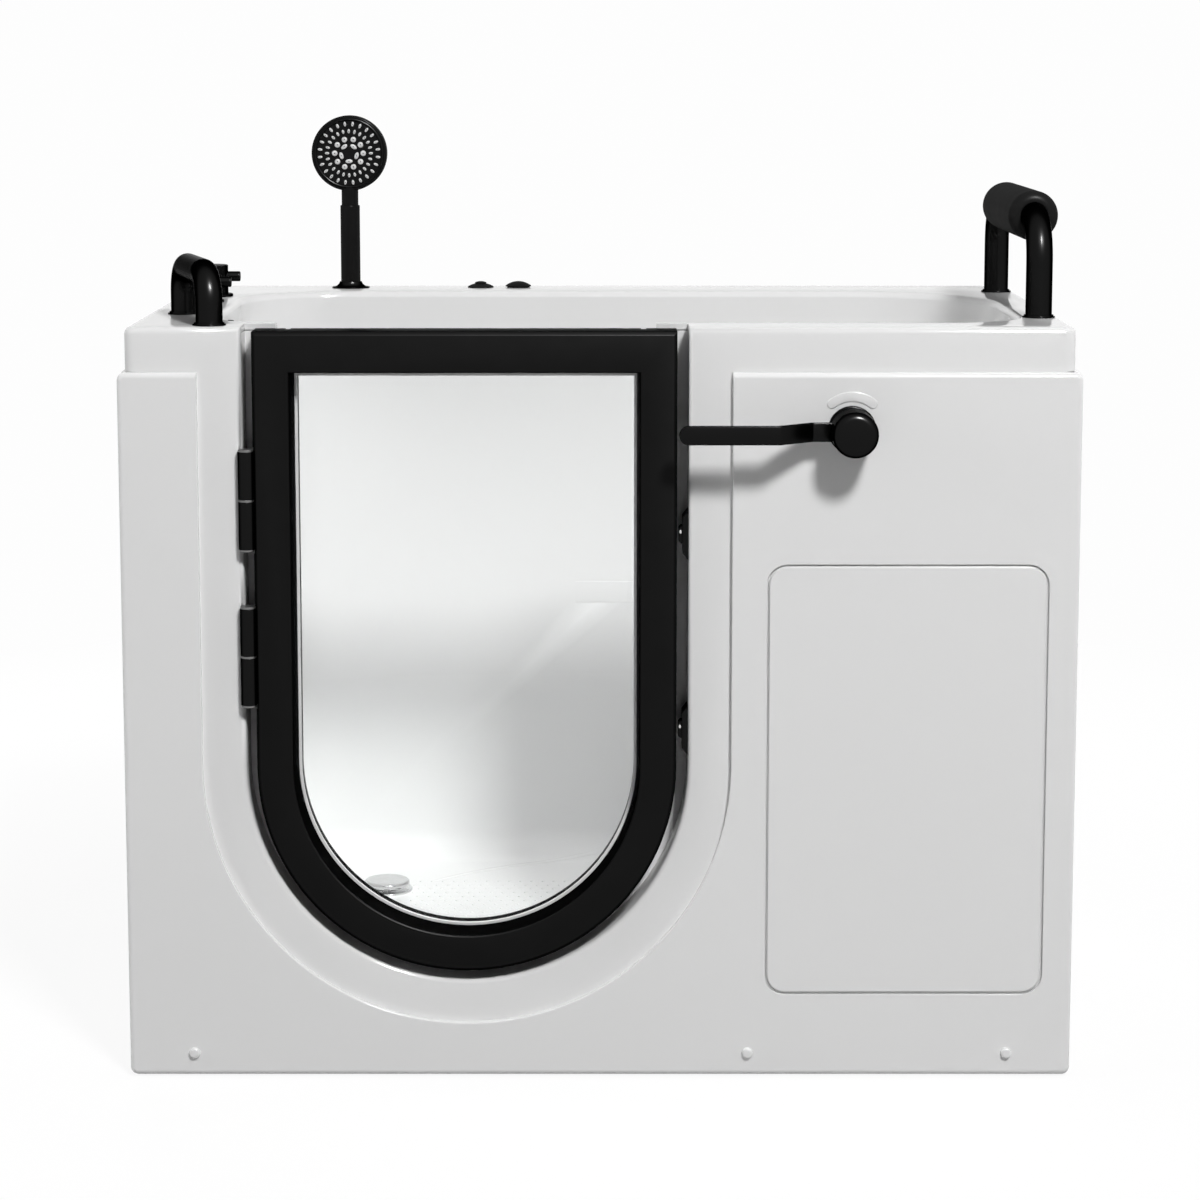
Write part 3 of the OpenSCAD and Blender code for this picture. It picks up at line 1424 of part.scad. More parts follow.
// Hollow pipe from the overflow's back to the drain body.
module overflow_pipe() {
    head_x = overflow_pipe_x - waste_r - 5;
    color([0.9, 0.9, 0.88]) difference() {
        union() {
            overflow_run(waste_r);
            translate([head_x, overflow_y, overflow_z]) rotate([0, 90, 0])
                cylinder(r = waste_r + 4, h = basin_x0 - shell_t - 1 - head_x, $fn = fine);
        }
        overflow_run(waste_r - pipe_t);
        translate([overflow_pipe_x, overflow_y, overflow_z]) rotate([0, 90, 0])
            cylinder(r = waste_r - 2, h = 3 * waste_r, $fn = fine);
        translate([drain_x, drain_y, rail_z - 20]) cylinder(r = waste_r + 7, h = 4 * waste_r, $fn = fine);
    }
}

tub_shell();
front_apron();
access_panel();
left_end_panel();
right_end_panel();
apron_screws();
apron_screw_caps();
front_rail();
back_rail();
side_rail(-side_rail_x - tube_s);  // left_rail
side_rail(side_rail_x);  // right_rail
cross_rail(cross_x[0]);  // well_rail_left
cross_rail(cross_x[1]);  // well_rail_right
cross_rail(seat_leg_x);  // seat_rail
corner_posts();
seat_legs();
levelling_feet();
foot_lock_nuts();
door_frame();
door_glass();
glass_bead();
glass_retainer();
door_seal();
jamb_hinge_leaves();
door_hinge_leaves();
hinge_pins();
hinge_washers();
keeper(bolt_upper_z);  // keeper_upper
keeper(bolt_lower_z);  // keeper_lower
lever_rosette();
lever_hub();
lever_arm();
latch_pinion();
latch_rack();
latch_bolt(bolt_upper_z);  // latch_bolt_upper
latch_bolt(bolt_lower_z);  // latch_bolt_lower
left_grab_bar();
left_grab_flanges();
right_grab_bar();
right_grab_flanges();
grip_roll();
tap_body(tap_y[0]);  // hot_tap_body
tap_lever(tap_y[0]);  // hot_tap_lever
tap_body(tap_y[1]);  // cold_tap_body
tap_lever(tap_y[1]);  // cold_tap_lever
shower_holder();
shower_handset();
shower_face();
air_collar(air_x[0], air_r, 1.6, air_h * 0.72);  // air_button_collar
air_button();
air_collar(air_x[1], air_r - 2, 1.2, 1.4);  // air_knob_collar
air_knob();
drain_flange();
drain_cap();
drain_body();
waste_trap();
overflow_plate();
overflow_knob();
overflow_pipe();
air_blower();
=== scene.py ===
import json
import math
import bpy
import bmesh
from mathutils import Matrix, Vector
from mathutils.bvhtree import BVHTree


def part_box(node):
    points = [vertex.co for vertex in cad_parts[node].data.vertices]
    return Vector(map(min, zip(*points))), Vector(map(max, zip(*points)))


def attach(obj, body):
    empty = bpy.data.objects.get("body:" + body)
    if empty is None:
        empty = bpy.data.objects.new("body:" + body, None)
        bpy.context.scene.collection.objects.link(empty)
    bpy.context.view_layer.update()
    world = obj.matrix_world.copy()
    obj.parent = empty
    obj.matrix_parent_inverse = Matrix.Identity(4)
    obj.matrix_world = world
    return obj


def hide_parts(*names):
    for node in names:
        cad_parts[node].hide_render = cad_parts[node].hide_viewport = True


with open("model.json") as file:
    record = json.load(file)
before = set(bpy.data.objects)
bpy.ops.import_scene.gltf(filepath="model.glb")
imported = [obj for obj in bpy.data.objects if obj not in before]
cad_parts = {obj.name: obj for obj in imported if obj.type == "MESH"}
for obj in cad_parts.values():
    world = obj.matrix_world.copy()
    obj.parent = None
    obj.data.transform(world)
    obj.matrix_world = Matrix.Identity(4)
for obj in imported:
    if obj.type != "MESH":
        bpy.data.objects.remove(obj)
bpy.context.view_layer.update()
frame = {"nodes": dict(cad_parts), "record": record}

nodes = frame["nodes"]
scene = bpy.context.scene
print("frame loaded with", len(nodes), "nodes")


# ---- camera and studio ----

cameraSpec = {"x": 0.0, "y": -4.0866, "z": 1.2965, "pitch": 7.611, "lens": 91.76, "shift": -0.115}

cameraData = bpy.data.cameras.new("photoCamera")
cameraData.sensor_width = 36
cameraData.lens = cameraSpec["lens"]
cameraData.shift_y = cameraSpec["shift"]
cameraData.clip_start = 0.05
cameraData.clip_end = 60
camera = bpy.data.objects.new("photoCamera", cameraData)
camera.location = (cameraSpec["x"], cameraSpec["y"], cameraSpec["z"])
camera.rotation_euler = (math.radians(90 - cameraSpec["pitch"]), 0, 0)
scene.collection.objects.link(camera)
scene.camera = camera

scene.view_settings.view_transform = "Standard"


# ---- shader maths ----

def plug(tree, value, socket):
    if isinstance(value, Wire):
        tree.links.new(value.socket, socket)
    elif isinstance(value, (tuple, list)) and len(value) == 3 and socket.type == "RGBA":
        socket.default_value = (*value, 1)
    else:
        socket.default_value = value


class Wire:
    def __init__(self, tree, socket):
        self.tree = tree
        self.socket = socket

    def maths(self, operation, *others):
        node = self.tree.nodes.new("ShaderNodeMath")
        node.operation = operation
        for value, socket in zip((self, *others), node.inputs):
            plug(self.tree, value, socket)
        return Wire(self.tree, node.outputs[0])

    def __add__(self, other):
        return self.maths("ADD", other)

    def __mul__(self, other):
        return self.maths("MULTIPLY", other)


class Finish:
    def __init__(self, name, **fixed):
        self.material = bpy.data.materials.new(name)
        self.material.use_nodes = True
        self.tree = self.material.node_tree
        self.tree.nodes.clear()
        self.shader = self.tree.nodes.new("ShaderNodeBsdfPrincipled")
        self.output = self.tree.nodes.new("ShaderNodeOutputMaterial")
        self.tree.links.new(self.shader.outputs[0], self.output.inputs["Surface"])
        for key, value in fixed.items():
            plug(self.tree, value, self.shader.inputs[socketNames[key]])

    def node(self, kind, inputs=None, out=0, **settings):
        node = self.tree.nodes.new(kind)
        for key, value in settings.items():
            setattr(node, key, value)
        for key, value in (inputs or {}).items():
            plug(self.tree, value, node.inputs[key])
        return Wire(self.tree, node.outputs[out])

    def place(self):
        return self.node("ShaderNodeTexCoord", out="Object")

    def noise(self, scale, detail=2.0, rough=0.5, stretch=(1, 1, 1)):
        where = self.node("ShaderNodeMapping", {"Vector": self.place(), "Scale": stretch})
        return self.node("ShaderNodeTexNoise",
                         {"Vector": where, "Scale": scale, "Detail": detail, "Roughness": rough})

    def spread(self, wire, low, high, fromLow=0.3, fromHigh=0.7):
        return self.node("ShaderNodeMapRange", {"Value": wire, "From Min": fromLow,
                         "From Max": fromHigh, "To Min": low, "To Max": high})

    def blend(self, factor, first, second):
        return self.node("ShaderNodeMix", {0: factor, 6: first, 7: second}, out=2, data_type="RGBA")

    def drive(self, name, wire):
        self.tree.links.new(wire.socket, self.shader.inputs[name])
        return self

    def relief(self, height, distance, strength=1.0, under=None):
        inputs = {"Height": height, "Distance": distance, "Strength": strength}
        if under is not None:
            inputs["Normal"] = under
        return self.node("ShaderNodeBump", inputs)

    def softEdge(self, radius):
        return self.node("ShaderNodeBevel", {"Radius": radius}, samples=4)


socketNames = {"base": "Base Color", "metallic": "Metallic", "roughness": "Roughness", "ior": "IOR",
               "coat": "Coat Weight", "coatRoughness": "Coat Roughness",
               "transmission": "Transmission Weight", "specular": "Specular IOR Level",
               "edgeTint": "Specular Tint"}


def tint(level, warmth=0.0):
    return (level * (1 + warmth), level, level * (1 - warmth))


def castAcrylic(name, level, roughness, edge):
    # moulded sheet with faint mottling, a fine relief and a thin polished coat
    paint = Finish(name, coat=0.12, coatRoughness=0.06, ior=1.49, specular=0.15)
    cloudy = paint.noise(14, 6, 0.65)
    paint.drive("Base Color", paint.blend(cloudy, tint(level * 0.994, 0.001), tint(level)))
    paint.drive("Roughness", paint.spread(paint.noise(20, 5, 0.6), roughness * 0.9, roughness * 1.1, 0, 1))
    paint.drive("Normal", paint.relief(paint.noise(70, 2, 0.4), 0.00002, 0.2, paint.softEdge(edge)))
    return paint.material


def powderCoat(name, level, roughness, edge):
    # black-coated metal: satin, dark at every angle, with fine orange peel
    paint = Finish(name, metallic=1.0, edgeTint=tint(0.1))
    patchy = paint.noise(11, 2, 0.5)
    paint.drive("Base Color", paint.blend(patchy, tint(level * 0.93), tint(level * 1.07)))
    uneven = paint.noise(40, 2, 0.5)
    paint.drive("Roughness", paint.spread(uneven, roughness * 0.92, roughness * 1.08, 0, 1))
    paint.drive("Normal", paint.relief(paint.noise(260, 1, 0.4), 0.00001, 0.25, paint.softEdge(edge)))
    return paint.material


def brightSteel(name, level, roughness, stretch=(1, 1, 40)):
    # turned or drawn steel with fine lines along one axis
    paint = Finish(name, metallic=1.0)
    lines = paint.noise(90, 3, 0.6, stretch)
    paint.drive("Base Color", paint.blend(paint.spread(lines, 0, 1), tint(level * 0.92), tint(level, 0.01)))
    paint.drive("Roughness", paint.spread(lines, roughness * 0.7, roughness * 1.35))
    paint.drive("Normal", paint.relief(lines, 0.00002, 0.5, paint.softEdge(0.0004)))
    return paint.material


def zincPaint(name):
    # galvanised tube: crystalline patches and duller weld soot
    paint = Finish(name, metallic=0.75)
    cells = paint.node("ShaderNodeTexVoronoi", {"Vector": paint.place(), "Scale": 130.0}, out=0)
    paint.drive("Base Color", paint.blend(cells * 2.2, tint(0.34), tint(0.47, -0.01)))
    paint.drive("Roughness", paint.spread(paint.noise(34, 3), 0.34, 0.58))
    paint.drive("Normal", paint.relief(cells, 0.00004, 0.4, paint.softEdge(0.0012)))
    return paint.material


def foamSkin(name):
    # closed-cell foam with a smooth skin and fine pores
    paint = Finish(name, ior=1.4, specular=0.0, coat=0.05, coatRoughness=0.34)
    tone = paint.noise(26, 4, 0.6)
    paint.drive("Base Color", paint.blend(paint.spread(tone, 0, 1), tint(0.011), tint(0.015)))
    paint.drive("Roughness", paint.spread(tone, 0.5, 0.66))
    pores = paint.node("ShaderNodeTexVoronoi", {"Vector": paint.place(), "Scale": 420.0}, out=0)
    paint.drive("Normal", paint.relief(pores + paint.noise(120, 2) * 0.6, 0.00005, 0.3))
    return paint.material


def softRubber(name, level):
    paint = Finish(name, ior=1.5)
    dusty = paint.noise(70, 4, 0.65)
    paint.drive("Base Color", paint.blend(paint.spread(dusty, 0, 1), tint(level * 0.8), tint(level * 1.5)))
    paint.drive("Roughness", paint.spread(dusty, 0.55, 0.78))
    paint.drive("Normal", paint.relief(paint.noise(900, 2), 0.00005, 0.5, paint.softEdge(0.0006)))
    return paint.material


def mouldedPlastic(name, level, roughness, grain=300, edge=0.0008, specular=0.5, coat=0.0):
    paint = Finish(name, ior=1.5, specular=specular, coat=coat, coatRoughness=0.2)
    flow = paint.noise(18, 3, 0.55)
    paint.drive("Base Color", paint.blend(paint.spread(flow, 0, 1), tint(level * 0.93),
                                          tint(level * 1.04, 0.006)))
    paint.drive("Roughness", paint.spread(paint.noise(50, 3), roughness * 0.85, roughness * 1.2))
    paint.drive("Normal", paint.relief(paint.noise(grain, 1), 0.000015, 0.3, paint.softEdge(edge)))
    return paint.material


def polishedChrome(name):
    paint = Finish(name, metallic=1.0)
    spots = paint.noise(55, 4, 0.6)
    paint.drive("Base Color", paint.blend(paint.spread(spots, 0, 1), tint(0.62), tint(0.7, -0.006)))
    paint.drive("Roughness", paint.spread(spots, 0.05, 0.13))
    paint.drive("Normal", paint.relief(paint.noise(24, 1), 0.00012, 0.3, paint.softEdge(0.0006)))
    return paint.material


def clearPane(name):
    # toughened glass with the faint film of a wiped pane; shadow and diffuse rays pass straight through
    paint = Finish(name, base=(0.975, 0.985, 0.982), transmission=1.0, ior=1.45)
    film = paint.noise(7, 3, 0.6, (1, 1, 0.35))
    paint.drive("Roughness", paint.spread(film, 0.0, 0.012))
    shadowRay = paint.node("ShaderNodeLightPath", out="Is Shadow Ray")
    bounceRay = paint.node("ShaderNodeLightPath", out="Is Diffuse Ray")
    clear = paint.node("ShaderNodeBsdfTransparent", {"Color": (0.93, 0.94, 0.935)})
    both = paint.node("ShaderNodeMixShader", {0: shadowRay.maths("MAXIMUM", bounceRay),
                                              1: Wire(paint.tree, paint.shader.outputs[0]), 2: clear})
    paint.tree.links.new(both.socket, paint.output.inputs["Surface"])
    return paint.material


finishes = {
    "acrylic": castAcrylic("castAcrylic", 0.775, 0.14, 0.0015),
    "panel_acrylic": castAcrylic("panelAcrylic", 0.79, 0.18, 0.0022),
    "frame_steel": zincPaint("zincPaint"),
    "foot_rubber": softRubber("footRubber", 0.014),
    "zinc": brightSteel("zincPlate", 0.55, 0.3),
    "black_frame": powderCoat("doorPowderCoat", 0.0072, 0.42, 0.0012),
    "glass": clearPane("clearGlass"),
    "bead": mouldedPlastic("glassBead", 0.8, 0.35),
    "seal": softRubber("sealRubber", 0.006),
    "steel": brightSteel("brightSteel", 0.6, 0.2),
    "black_metal": powderCoat("satinBlack", 0.0098, 0.25, 0.001),
    "foam": foamSkin("foamSkin"),
    "black_plastic": mouldedPlastic("blackPlastic", 0.0075, 0.4, 300, 0.0008, 0.0, 0.1),
    "chrome": polishedChrome("polishedChrome"),
    "pipe_plastic": mouldedPlastic("pipePlastic", 0.72, 0.42),
    "blower_plastic": mouldedPlastic("blowerPlastic", 0.022, 0.5, 300),
}
print("finishes made:", len(finishes))


# ---- floor, backdrop and lamps ----

studioSpec = {"floorLevel": 0.42, "floorGlow": 0.75, "nearFloor": 1.0, "farFloor": 2.8, "nearGlow": 1.19,
              "world": 0.14, "backdrop": 0.985}


def backdropRays(tree):
    # one for the rays that show the pale backdrop, nought for those that only light things
    path = tree.nodes.new("ShaderNodeLightPath")
    seen, shiny, through = (Wire(tree, path.outputs["Is " + kind + " Ray"])
                            for kind in ("Camera", "Glossy", "Transmission"))
    return seen.maths("MAXIMUM", shiny).maths("MAXIMUM", through)


def studioWorld():
    world = bpy.data.worlds.new("studio")
    scene.world = world
    world.use_nodes = True
    tree = world.node_tree
    tree.nodes.clear()
    strength = tree.nodes.new("ShaderNodeMapRange")
    plug(tree, backdropRays(tree), strength.inputs["Value"])
    strength.inputs["To Min"].default_value = studioSpec["world"]
    strength.inputs["To Max"].default_value = studioSpec["backdrop"]
    sky = tree.nodes.new("ShaderNodeBackground")
    sky.inputs["Color"].default_value = (1, 1, 1, 1)
    tree.links.new(strength.outputs[0], sky.inputs["Strength"])
    result = tree.nodes.new("ShaderNodeOutputWorld")
    tree.links.new(sky.outputs[0], result.inputs["Surface"])


def studioFloor():
    mesh = bpy.data.meshes.new("studioFloor")
    mesh.from_pydata([(-40, -40, 0), (40, -40, 0), (40, 40, 0), (-40, 40, 0)], [], [(0, 1, 2, 3)])
    floor = bpy.data.objects.new("studioFloor", mesh)
    floor.location.z = -0.0005
    scene.collection.objects.link(floor)
    paint = Finish("studioFloor", roughness=0.95, specular=0.0)
    speck = paint.noise(40, 2)
    level = studioSpec["floorLevel"]
    paint.drive("Base Color", paint.blend(paint.spread(speck, 0, 1), tint(level * 0.996), tint(level)))
    away = paint.node("ShaderNodeVectorMath", {0: paint.place()}, out="Value", operation="LENGTH")
    reach = (studioSpec["nearFloor"], studioSpec["farFloor"])
    fade = paint.spread(away, studioSpec["floorGlow"], 1, *reach)
    bright = paint.spread(away, studioSpec["nearGlow"], studioSpec["backdrop"], *reach)
    glow = paint.node("ShaderNodeEmission", {"Color": (1, 1, 1), "Strength": bright})
    both = paint.node("ShaderNodeMixShader", {0: fade * backdropRays(paint.tree),
                                              1: Wire(paint.tree, paint.shader.outputs[0]), 2: glow})
    paint.tree.links.new(both.socket, paint.output.inputs["Surface"])
    mesh.materials.append(paint.material)


studioWorld()
studioFloor()

lampSpec = {
    "keyLamp": {"at": (1.9, -4.9, 5.5), "aim": (0.05, -0.2, 0.7), "size": (1.0, 1.0), "power": 400,
                "shine": True},
    "keyGlint": {"at": (1.9, -4.9, 5.5), "aim": (0.05, -0.2, 0.7), "size": (0.8, 0.8), "power": 1500,
                 "shine": True, "glossOnly": True},
    "leftLamp": {"at": (-4.2, -0.6, 2.0), "aim": (0, 0, 0.5), "size": (2.0, 1.6), "power": 52},
    "topLamp": {"at": (-0.1, 0.5, 4.4), "aim": (0, 0.1, 0.5), "size": (1.8, 1.4), "power": 6},
    "backLamp": {"at": (-1.2, 4.4, 1.3), "aim": (0, 0, 0.6), "size": (2.4, 1.6), "power": 95},
    "wellLamp": {"at": (-0.1, 0.02, 0.98), "aim": (-0.1, 0.021, 0), "size": (0.7, 0.3), "power": 0.9,
                 "spread": 95},
    "rightLamp": {"at": (4.2, 0.9, 2.2), "aim": (0, 0, 0.5), "size": (2.0, 1.6), "power": 42},
}
for name, spec in lampSpec.items():
    lampData = bpy.data.lights.new(name, "AREA")
    lampData.shape = "RECTANGLE"
    lampData.size, lampData.size_y = spec["size"]
    lampData.energy = spec["power"]
    lampData.spread = math.radians(spec.get("spread", 180))
    lamp = bpy.data.objects.new(name, lampData)
    lamp.location = spec["at"]
    lamp.visible_camera = False
    lamp.visible_glossy = spec.get("shine", False)
    lamp.visible_diffuse = not spec.get("glossOnly", False)
    lamp.rotation_mode = "QUATERNION"
    lamp.rotation_quaternion = (Vector(spec["aim"]) - Vector(spec["at"])).to_track_quat("-Z", "Y")
    scene.collection.objects.link(lamp)
print("studio lit")


# ---- helpers for pieces ----

bodyOf = {}
for body, members in frame["record"]["behaviour"]["bodies"].items():
    bodyOf.update({node: body for node in members})
slotOf = {row["node"]: row["material_slot"] for row in frame["record"]["subparts"]}


def millimetres(*values):
    return tuple(value / 1000 for value in values)


def polar(radius, degrees):
    angle = math.radians(degrees)
    return radius * math.cos(angle), radius * math.sin(angle)


def addPiece(name, mesh, body, slotName):
    piece = bpy.data.objects.new(name, mesh)
    scene.collection.objects.link(piece)
    mesh.materials.clear()
    mesh.materials.append(finishes[slotName])
    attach(piece, body)
    return piece


def addDressedMesh(name, mesh, body):
    # a piece whose mesh already carries its own materials
    mesh.polygons.foreach_set("use_smooth", [True] * len(mesh.polygons))
    piece = bpy.data.objects.new(name, mesh)
    scene.collection.objects.link(piece)
    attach(piece, body)
    return piece


def smoothByAngle(mesh, degrees):
    mesh.polygons.foreach_set("use_smooth", [True] * len(mesh.polygons))
    mesh.set_sharp_from_angle(angle=math.radians(degrees))
    mesh.update()


def cleanCopy(node, name, angle):
    # the CAD mesh with joined points and its flat faces made whole again
    work = bmesh.new()
    work.from_mesh(nodes[node].data)
    bmesh.ops.remove_doubles(work, verts=work.verts, dist=0.000005)
    bmesh.ops.dissolve_limit(work, angle_limit=math.radians(angle), verts=work.verts, edges=work.edges,
                             use_dissolve_boundaries=False)
    mesh = bpy.data.meshes.new(name)
    work.to_mesh(mesh)
    work.free()
    return mesh


def shellRays():
    # a tree for casting rays at the CAD tub shell
    mesh = nodes["tub_shell"].data
    points = [vertex.co for vertex in mesh.vertices]
    return BVHTree.FromPolygons(points, [face.vertices for face in mesh.polygons])


def spin(profile, count):
    # lathes (radius, height) points, in metres, about the Z axis
    work = bmesh.new()
    rings = []
    for radius, height in profile:
        if radius < 1e-6:
            rings.append([work.verts.new((0, 0, height))])
        else:
            angles = [2 * math.pi * i / count for i in range(count)]
            rings.append([work.verts.new((radius * math.cos(angle), radius * math.sin(angle), height))
                          for angle in angles])
    for low, high in zip(rings, rings[1:]):
        for i in range(count):
            j = (i + 1) % count
            if len(low) == 1 and len(high) == 1:
                continue
            if len(low) == 1:
                work.faces.new((low[0], high[j], high[i]))
            elif len(high) == 1:
                work.faces.new((low[i], low[j], high[0]))
            else:
                work.faces.new((low[i], low[j], high[j], high[i]))
    return work


def finishMesh(work, name, turn=None, move=(0, 0, 0), smooth=50):
    bmesh.ops.recalc_face_normals(work, faces=work.faces)
    if turn is not None:
        work.transform(turn)
    work.transform(Matrix.Translation(move))
    mesh = bpy.data.meshes.new(name)
    work.to_mesh(mesh)
    work.free()
    smoothByAngle(mesh, smooth)
    return mesh


# ---- every CAD node takes its finish ----

pinSteel = brightSteel("pinSteel", 0.16, 0.34)
pinNodes = ("hinge_pins", "hinge_washers")
for node, holder in nodes.items():
    holder.data.materials.clear()
    holder.data.materials.append(pinSteel if node in pinNodes else finishes[slotOf[node]])
print("finishes on the nodes")


# ---- the moulded tub ----

tubSpec = {"flat": 0.4, "smooth": 38}


def dressedShell():
    mesh = cleanCopy("tub_shell", "tubMoulding", tubSpec["flat"])
    smoothByAngle(mesh, tubSpec["smooth"])
    piece = addPiece("tubMoulding", mesh, "tub", "acrylic")
    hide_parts("tub_shell")
    return piece


dressedShell()
print("tub moulding dressed")


# ---- seam strips where the foot well's rim meets the seat ----

seamSpec = {
    "seamInside": {"from": -45, "to": 101, "low": 512, "high": 543, "start": 60, "way": 1, "edge": 259.3},
    "seamOutside": {"from": -10, "to": 112, "low": 531.5, "high": 542.5, "start": 340, "way": -1,
                    "edge": 267.6},
    "seamFront": {"from": 74, "to": 101, "low": 512, "high": 543, "start": -100, "way": -1, "edge": -216.5},
}
seamForm = {"proud": 0.12, "wall": 3.0, "stations": 60, "fade": 8, "jump": 30}


def seamStrip(name):
    # a thin plate that lies on one skin of the shell and sinks into it at both ends
    spec = seamSpec[name]
    way, count = spec["way"], seamForm["stations"]
    wall = seamForm["wall"] / 1000
    rays = shellRays()
    work = bmesh.new()
    rings = []
    levels = millimetres(spec["low"], spec["high"])
    skins = [spec["edge"] / 1000] * 2
    for i in range(count + 1):
        x = (spec["from"] + (spec["to"] - spec["from"]) * i / count) / 1000
        for j, z in enumerate(levels):
            found = rays.ray_cast(Vector((x, spec["start"] / 1000, z)), Vector((0, way, 0)))[0]
            if found is not None and abs(found.y - skins[j]) < seamForm["jump"] / 1000:
                skins[j] = found.y
        rise = min(i, count - i) / seamForm["fade"]
        proud = seamForm["proud"] / 1000 * min(1, 2 * rise - 1)
        corners = [(skins[0] - way * proud, levels[0]), (skins[1] - way * proud, levels[1]),
                   (skins[1] + way * wall, levels[1]), (skins[0] + way * wall, levels[0])]
        rings.append([work.verts.new((x, y, z)) for y, z in corners])
    for first, second in zip(rings, rings[1:]):
        for j in range(4):
            work.faces.new((first[j], second[j], second[(j + 1) % 4], first[(j + 1) % 4]))
    work.faces.new(rings[0])
    work.faces.new(list(reversed(rings[-1])))
    return addPiece(name, finishMesh(work, name), "tub", "acrylic")


for name in seamSpec:
    seamStrip(name)
print("seam strips set")


# ---- door frame and lever arm with softened edges ----

dressSpec = {
    "doorFrame": {"node": "door_frame", "bevel": 1.5, "slot": "black_frame"},
    "leverArm": {"node": "lever_arm", "bevel": 0.9, "slot": "black_metal"},
}
dressForm = {"flat": 0.6, "segments": 3, "angle": 30, "smooth": 40}


def dressedCopy(name):
    spec = dressSpec[name]
    mesh = cleanCopy(spec["node"], name, dressForm["flat"])
    piece = addPiece(name, mesh, bodyOf[spec["node"]], spec["slot"])
    edge = piece.modifiers.new("edges", "BEVEL")
    edge.width = spec["bevel"] / 1000
    edge.segments = dressForm["segments"]
    edge.limit_method = "ANGLE"
    edge.angle_limit = math.radians(dressForm["angle"])
    edge.harden_normals = False
    bpy.context.view_layer.update()
    made = bpy.data.meshes.new_from_object(piece.evaluated_get(bpy.context.evaluated_depsgraph_get()))
    piece.modifiers.remove(edge)
    piece.data = made
    smoothByAngle(made, dressForm["smooth"])
    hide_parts(spec["node"])
    return piece


for name in dressSpec:
    dressedCopy(name)
print("door frame dressed")


# ---- latch hub, and the bright pins in the two bolts ----

hubSpec = {"radius": 28.5, "round": 10.0, "crown": 1.1, "chamfer": 0.6, "crownSteps": 8, "sides": 96,
           "smooth": 40}
pinSpec = {"radius": 2.3, "height": 0.35, "inset": 2.2, "above": 4.0, "root": 1.0, "proud": 0.3,
           "sides": 24, "smooth": 60}


def latchHub():
    low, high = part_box("lever_hub")
    radius, edge, crown, chamfer = (hubSpec[key] / 1000 for key in ("radius", "round", "crown", "chamfer"))
    depth = high.y - low.y
    profile = [(0, 0), (radius - chamfer, 0), (radius, chamfer), (radius, depth / 2)]
    for degrees in range(0, 88, 6):
        across, along = polar(edge, degrees)
        profile.append((radius - edge + across, depth - crown - edge + along))
    inner, steps = profile[-1], hubSpec["crownSteps"]
    for i in range(1, steps):
        rise = (depth - inner[1]) * math.sin(math.pi * i / (2 * steps))
        profile.append((inner[0] * (1 - i / steps), inner[1] + rise))
    profile.append((0, depth))
    place = ((low.x + high.x) / 2, high.y, (low.z + high.z) / 2)
    mesh = finishMesh(spin(profile, hubSpec["sides"]), "latchHub",
                      Matrix.Rotation(math.radians(90), 4, "X"), place, hubSpec["smooth"])
    piece = addPiece("latchHub", mesh, bodyOf["lever_hub"], "black_metal")
    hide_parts("lever_hub")
    return piece


def boltPin(node, name):
    low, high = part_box(node)
    radius, height, inset, above, root, proud = (
        pinSpec[key] / 1000 for key in ("radius", "height", "inset", "above", "root", "proud"))
    profile = [(0, -root), (radius, -root)]
    for degrees in range(0, 90, 15):
        profile.append((polar(radius, degrees)[0], polar(height, degrees)[1]))
    profile.append((0, height))
    place = (low.x + inset, low.y - proud, (low.z + high.z) / 2 + above)
    mesh = finishMesh(spin(profile, pinSpec["sides"]), name, Matrix.Rotation(math.radians(90), 4, "X"),
                      place, pinSpec["smooth"])
    return addPiece(name, mesh, bodyOf[node], "steel")


latchHub()
boltPin("latch_bolt_upper", "boltPinUpper")
boltPin("latch_bolt_lower", "boltPinLower")
print("latch hub and bolt pins made")


# ---- foam roll on the right bar ----

rollSpec = {"radius": 32.5, "bore": 17.4, "lip": 13.0, "dip": 1.6, "swell": 0.2, "ease": 0.2,
            "crownInset": 0.5, "dipShare": 0.8, "steps": 28, "sides": 96, "fill": 0.95}


def foamRoll():
    low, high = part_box("grip_roll")
    radius, lip, bore, dip, swell, ease, inset = (
        rollSpec[key] / 1000 for key in ("radius", "lip", "bore", "dip", "swell", "ease", "crownInset"))
    length = high.y - low.y
    crown = radius - lip - inset
    slope = dip * rollSpec["dipShare"]
    ends = [(bore, dip), (bore + ease, slope)]
    for degrees in range(15, 90, 15):
        across, along = polar(1, degrees)
        ends.append((crown - (crown - bore) * across, slope * (1 - along)))
    ends.append((crown, 0.0))
    for degrees in range(8, 91, 8):
        along, across = polar(lip, degrees)
        ends.append((radius - lip + across, lip - along))
    profile = list(ends)
    steps = rollSpec["steps"]
    for i in range(1, steps):
        fullness = swell * (math.sin(math.pi * i / steps) ** 0.5 - 1)
        profile.append((radius + fullness, lip + (length - 2 * lip) * i / steps))
    profile += [(across, length - along) for across, along in reversed(ends)]
    profile.append(profile[0])
    centre = (low + high) / 2
    mesh = finishMesh(spin(profile, rollSpec["sides"]), "foamRoll",
                      Matrix.Rotation(math.radians(-90), 4, "X"), (centre.x, low.y, centre.z))
    piece = addPiece("foamRoll", mesh, "tub", "foam")
    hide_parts("grip_roll")
    return piece


foamRoll()
print("foam roll made")


# ---- nozzles and rim of the spray face ----

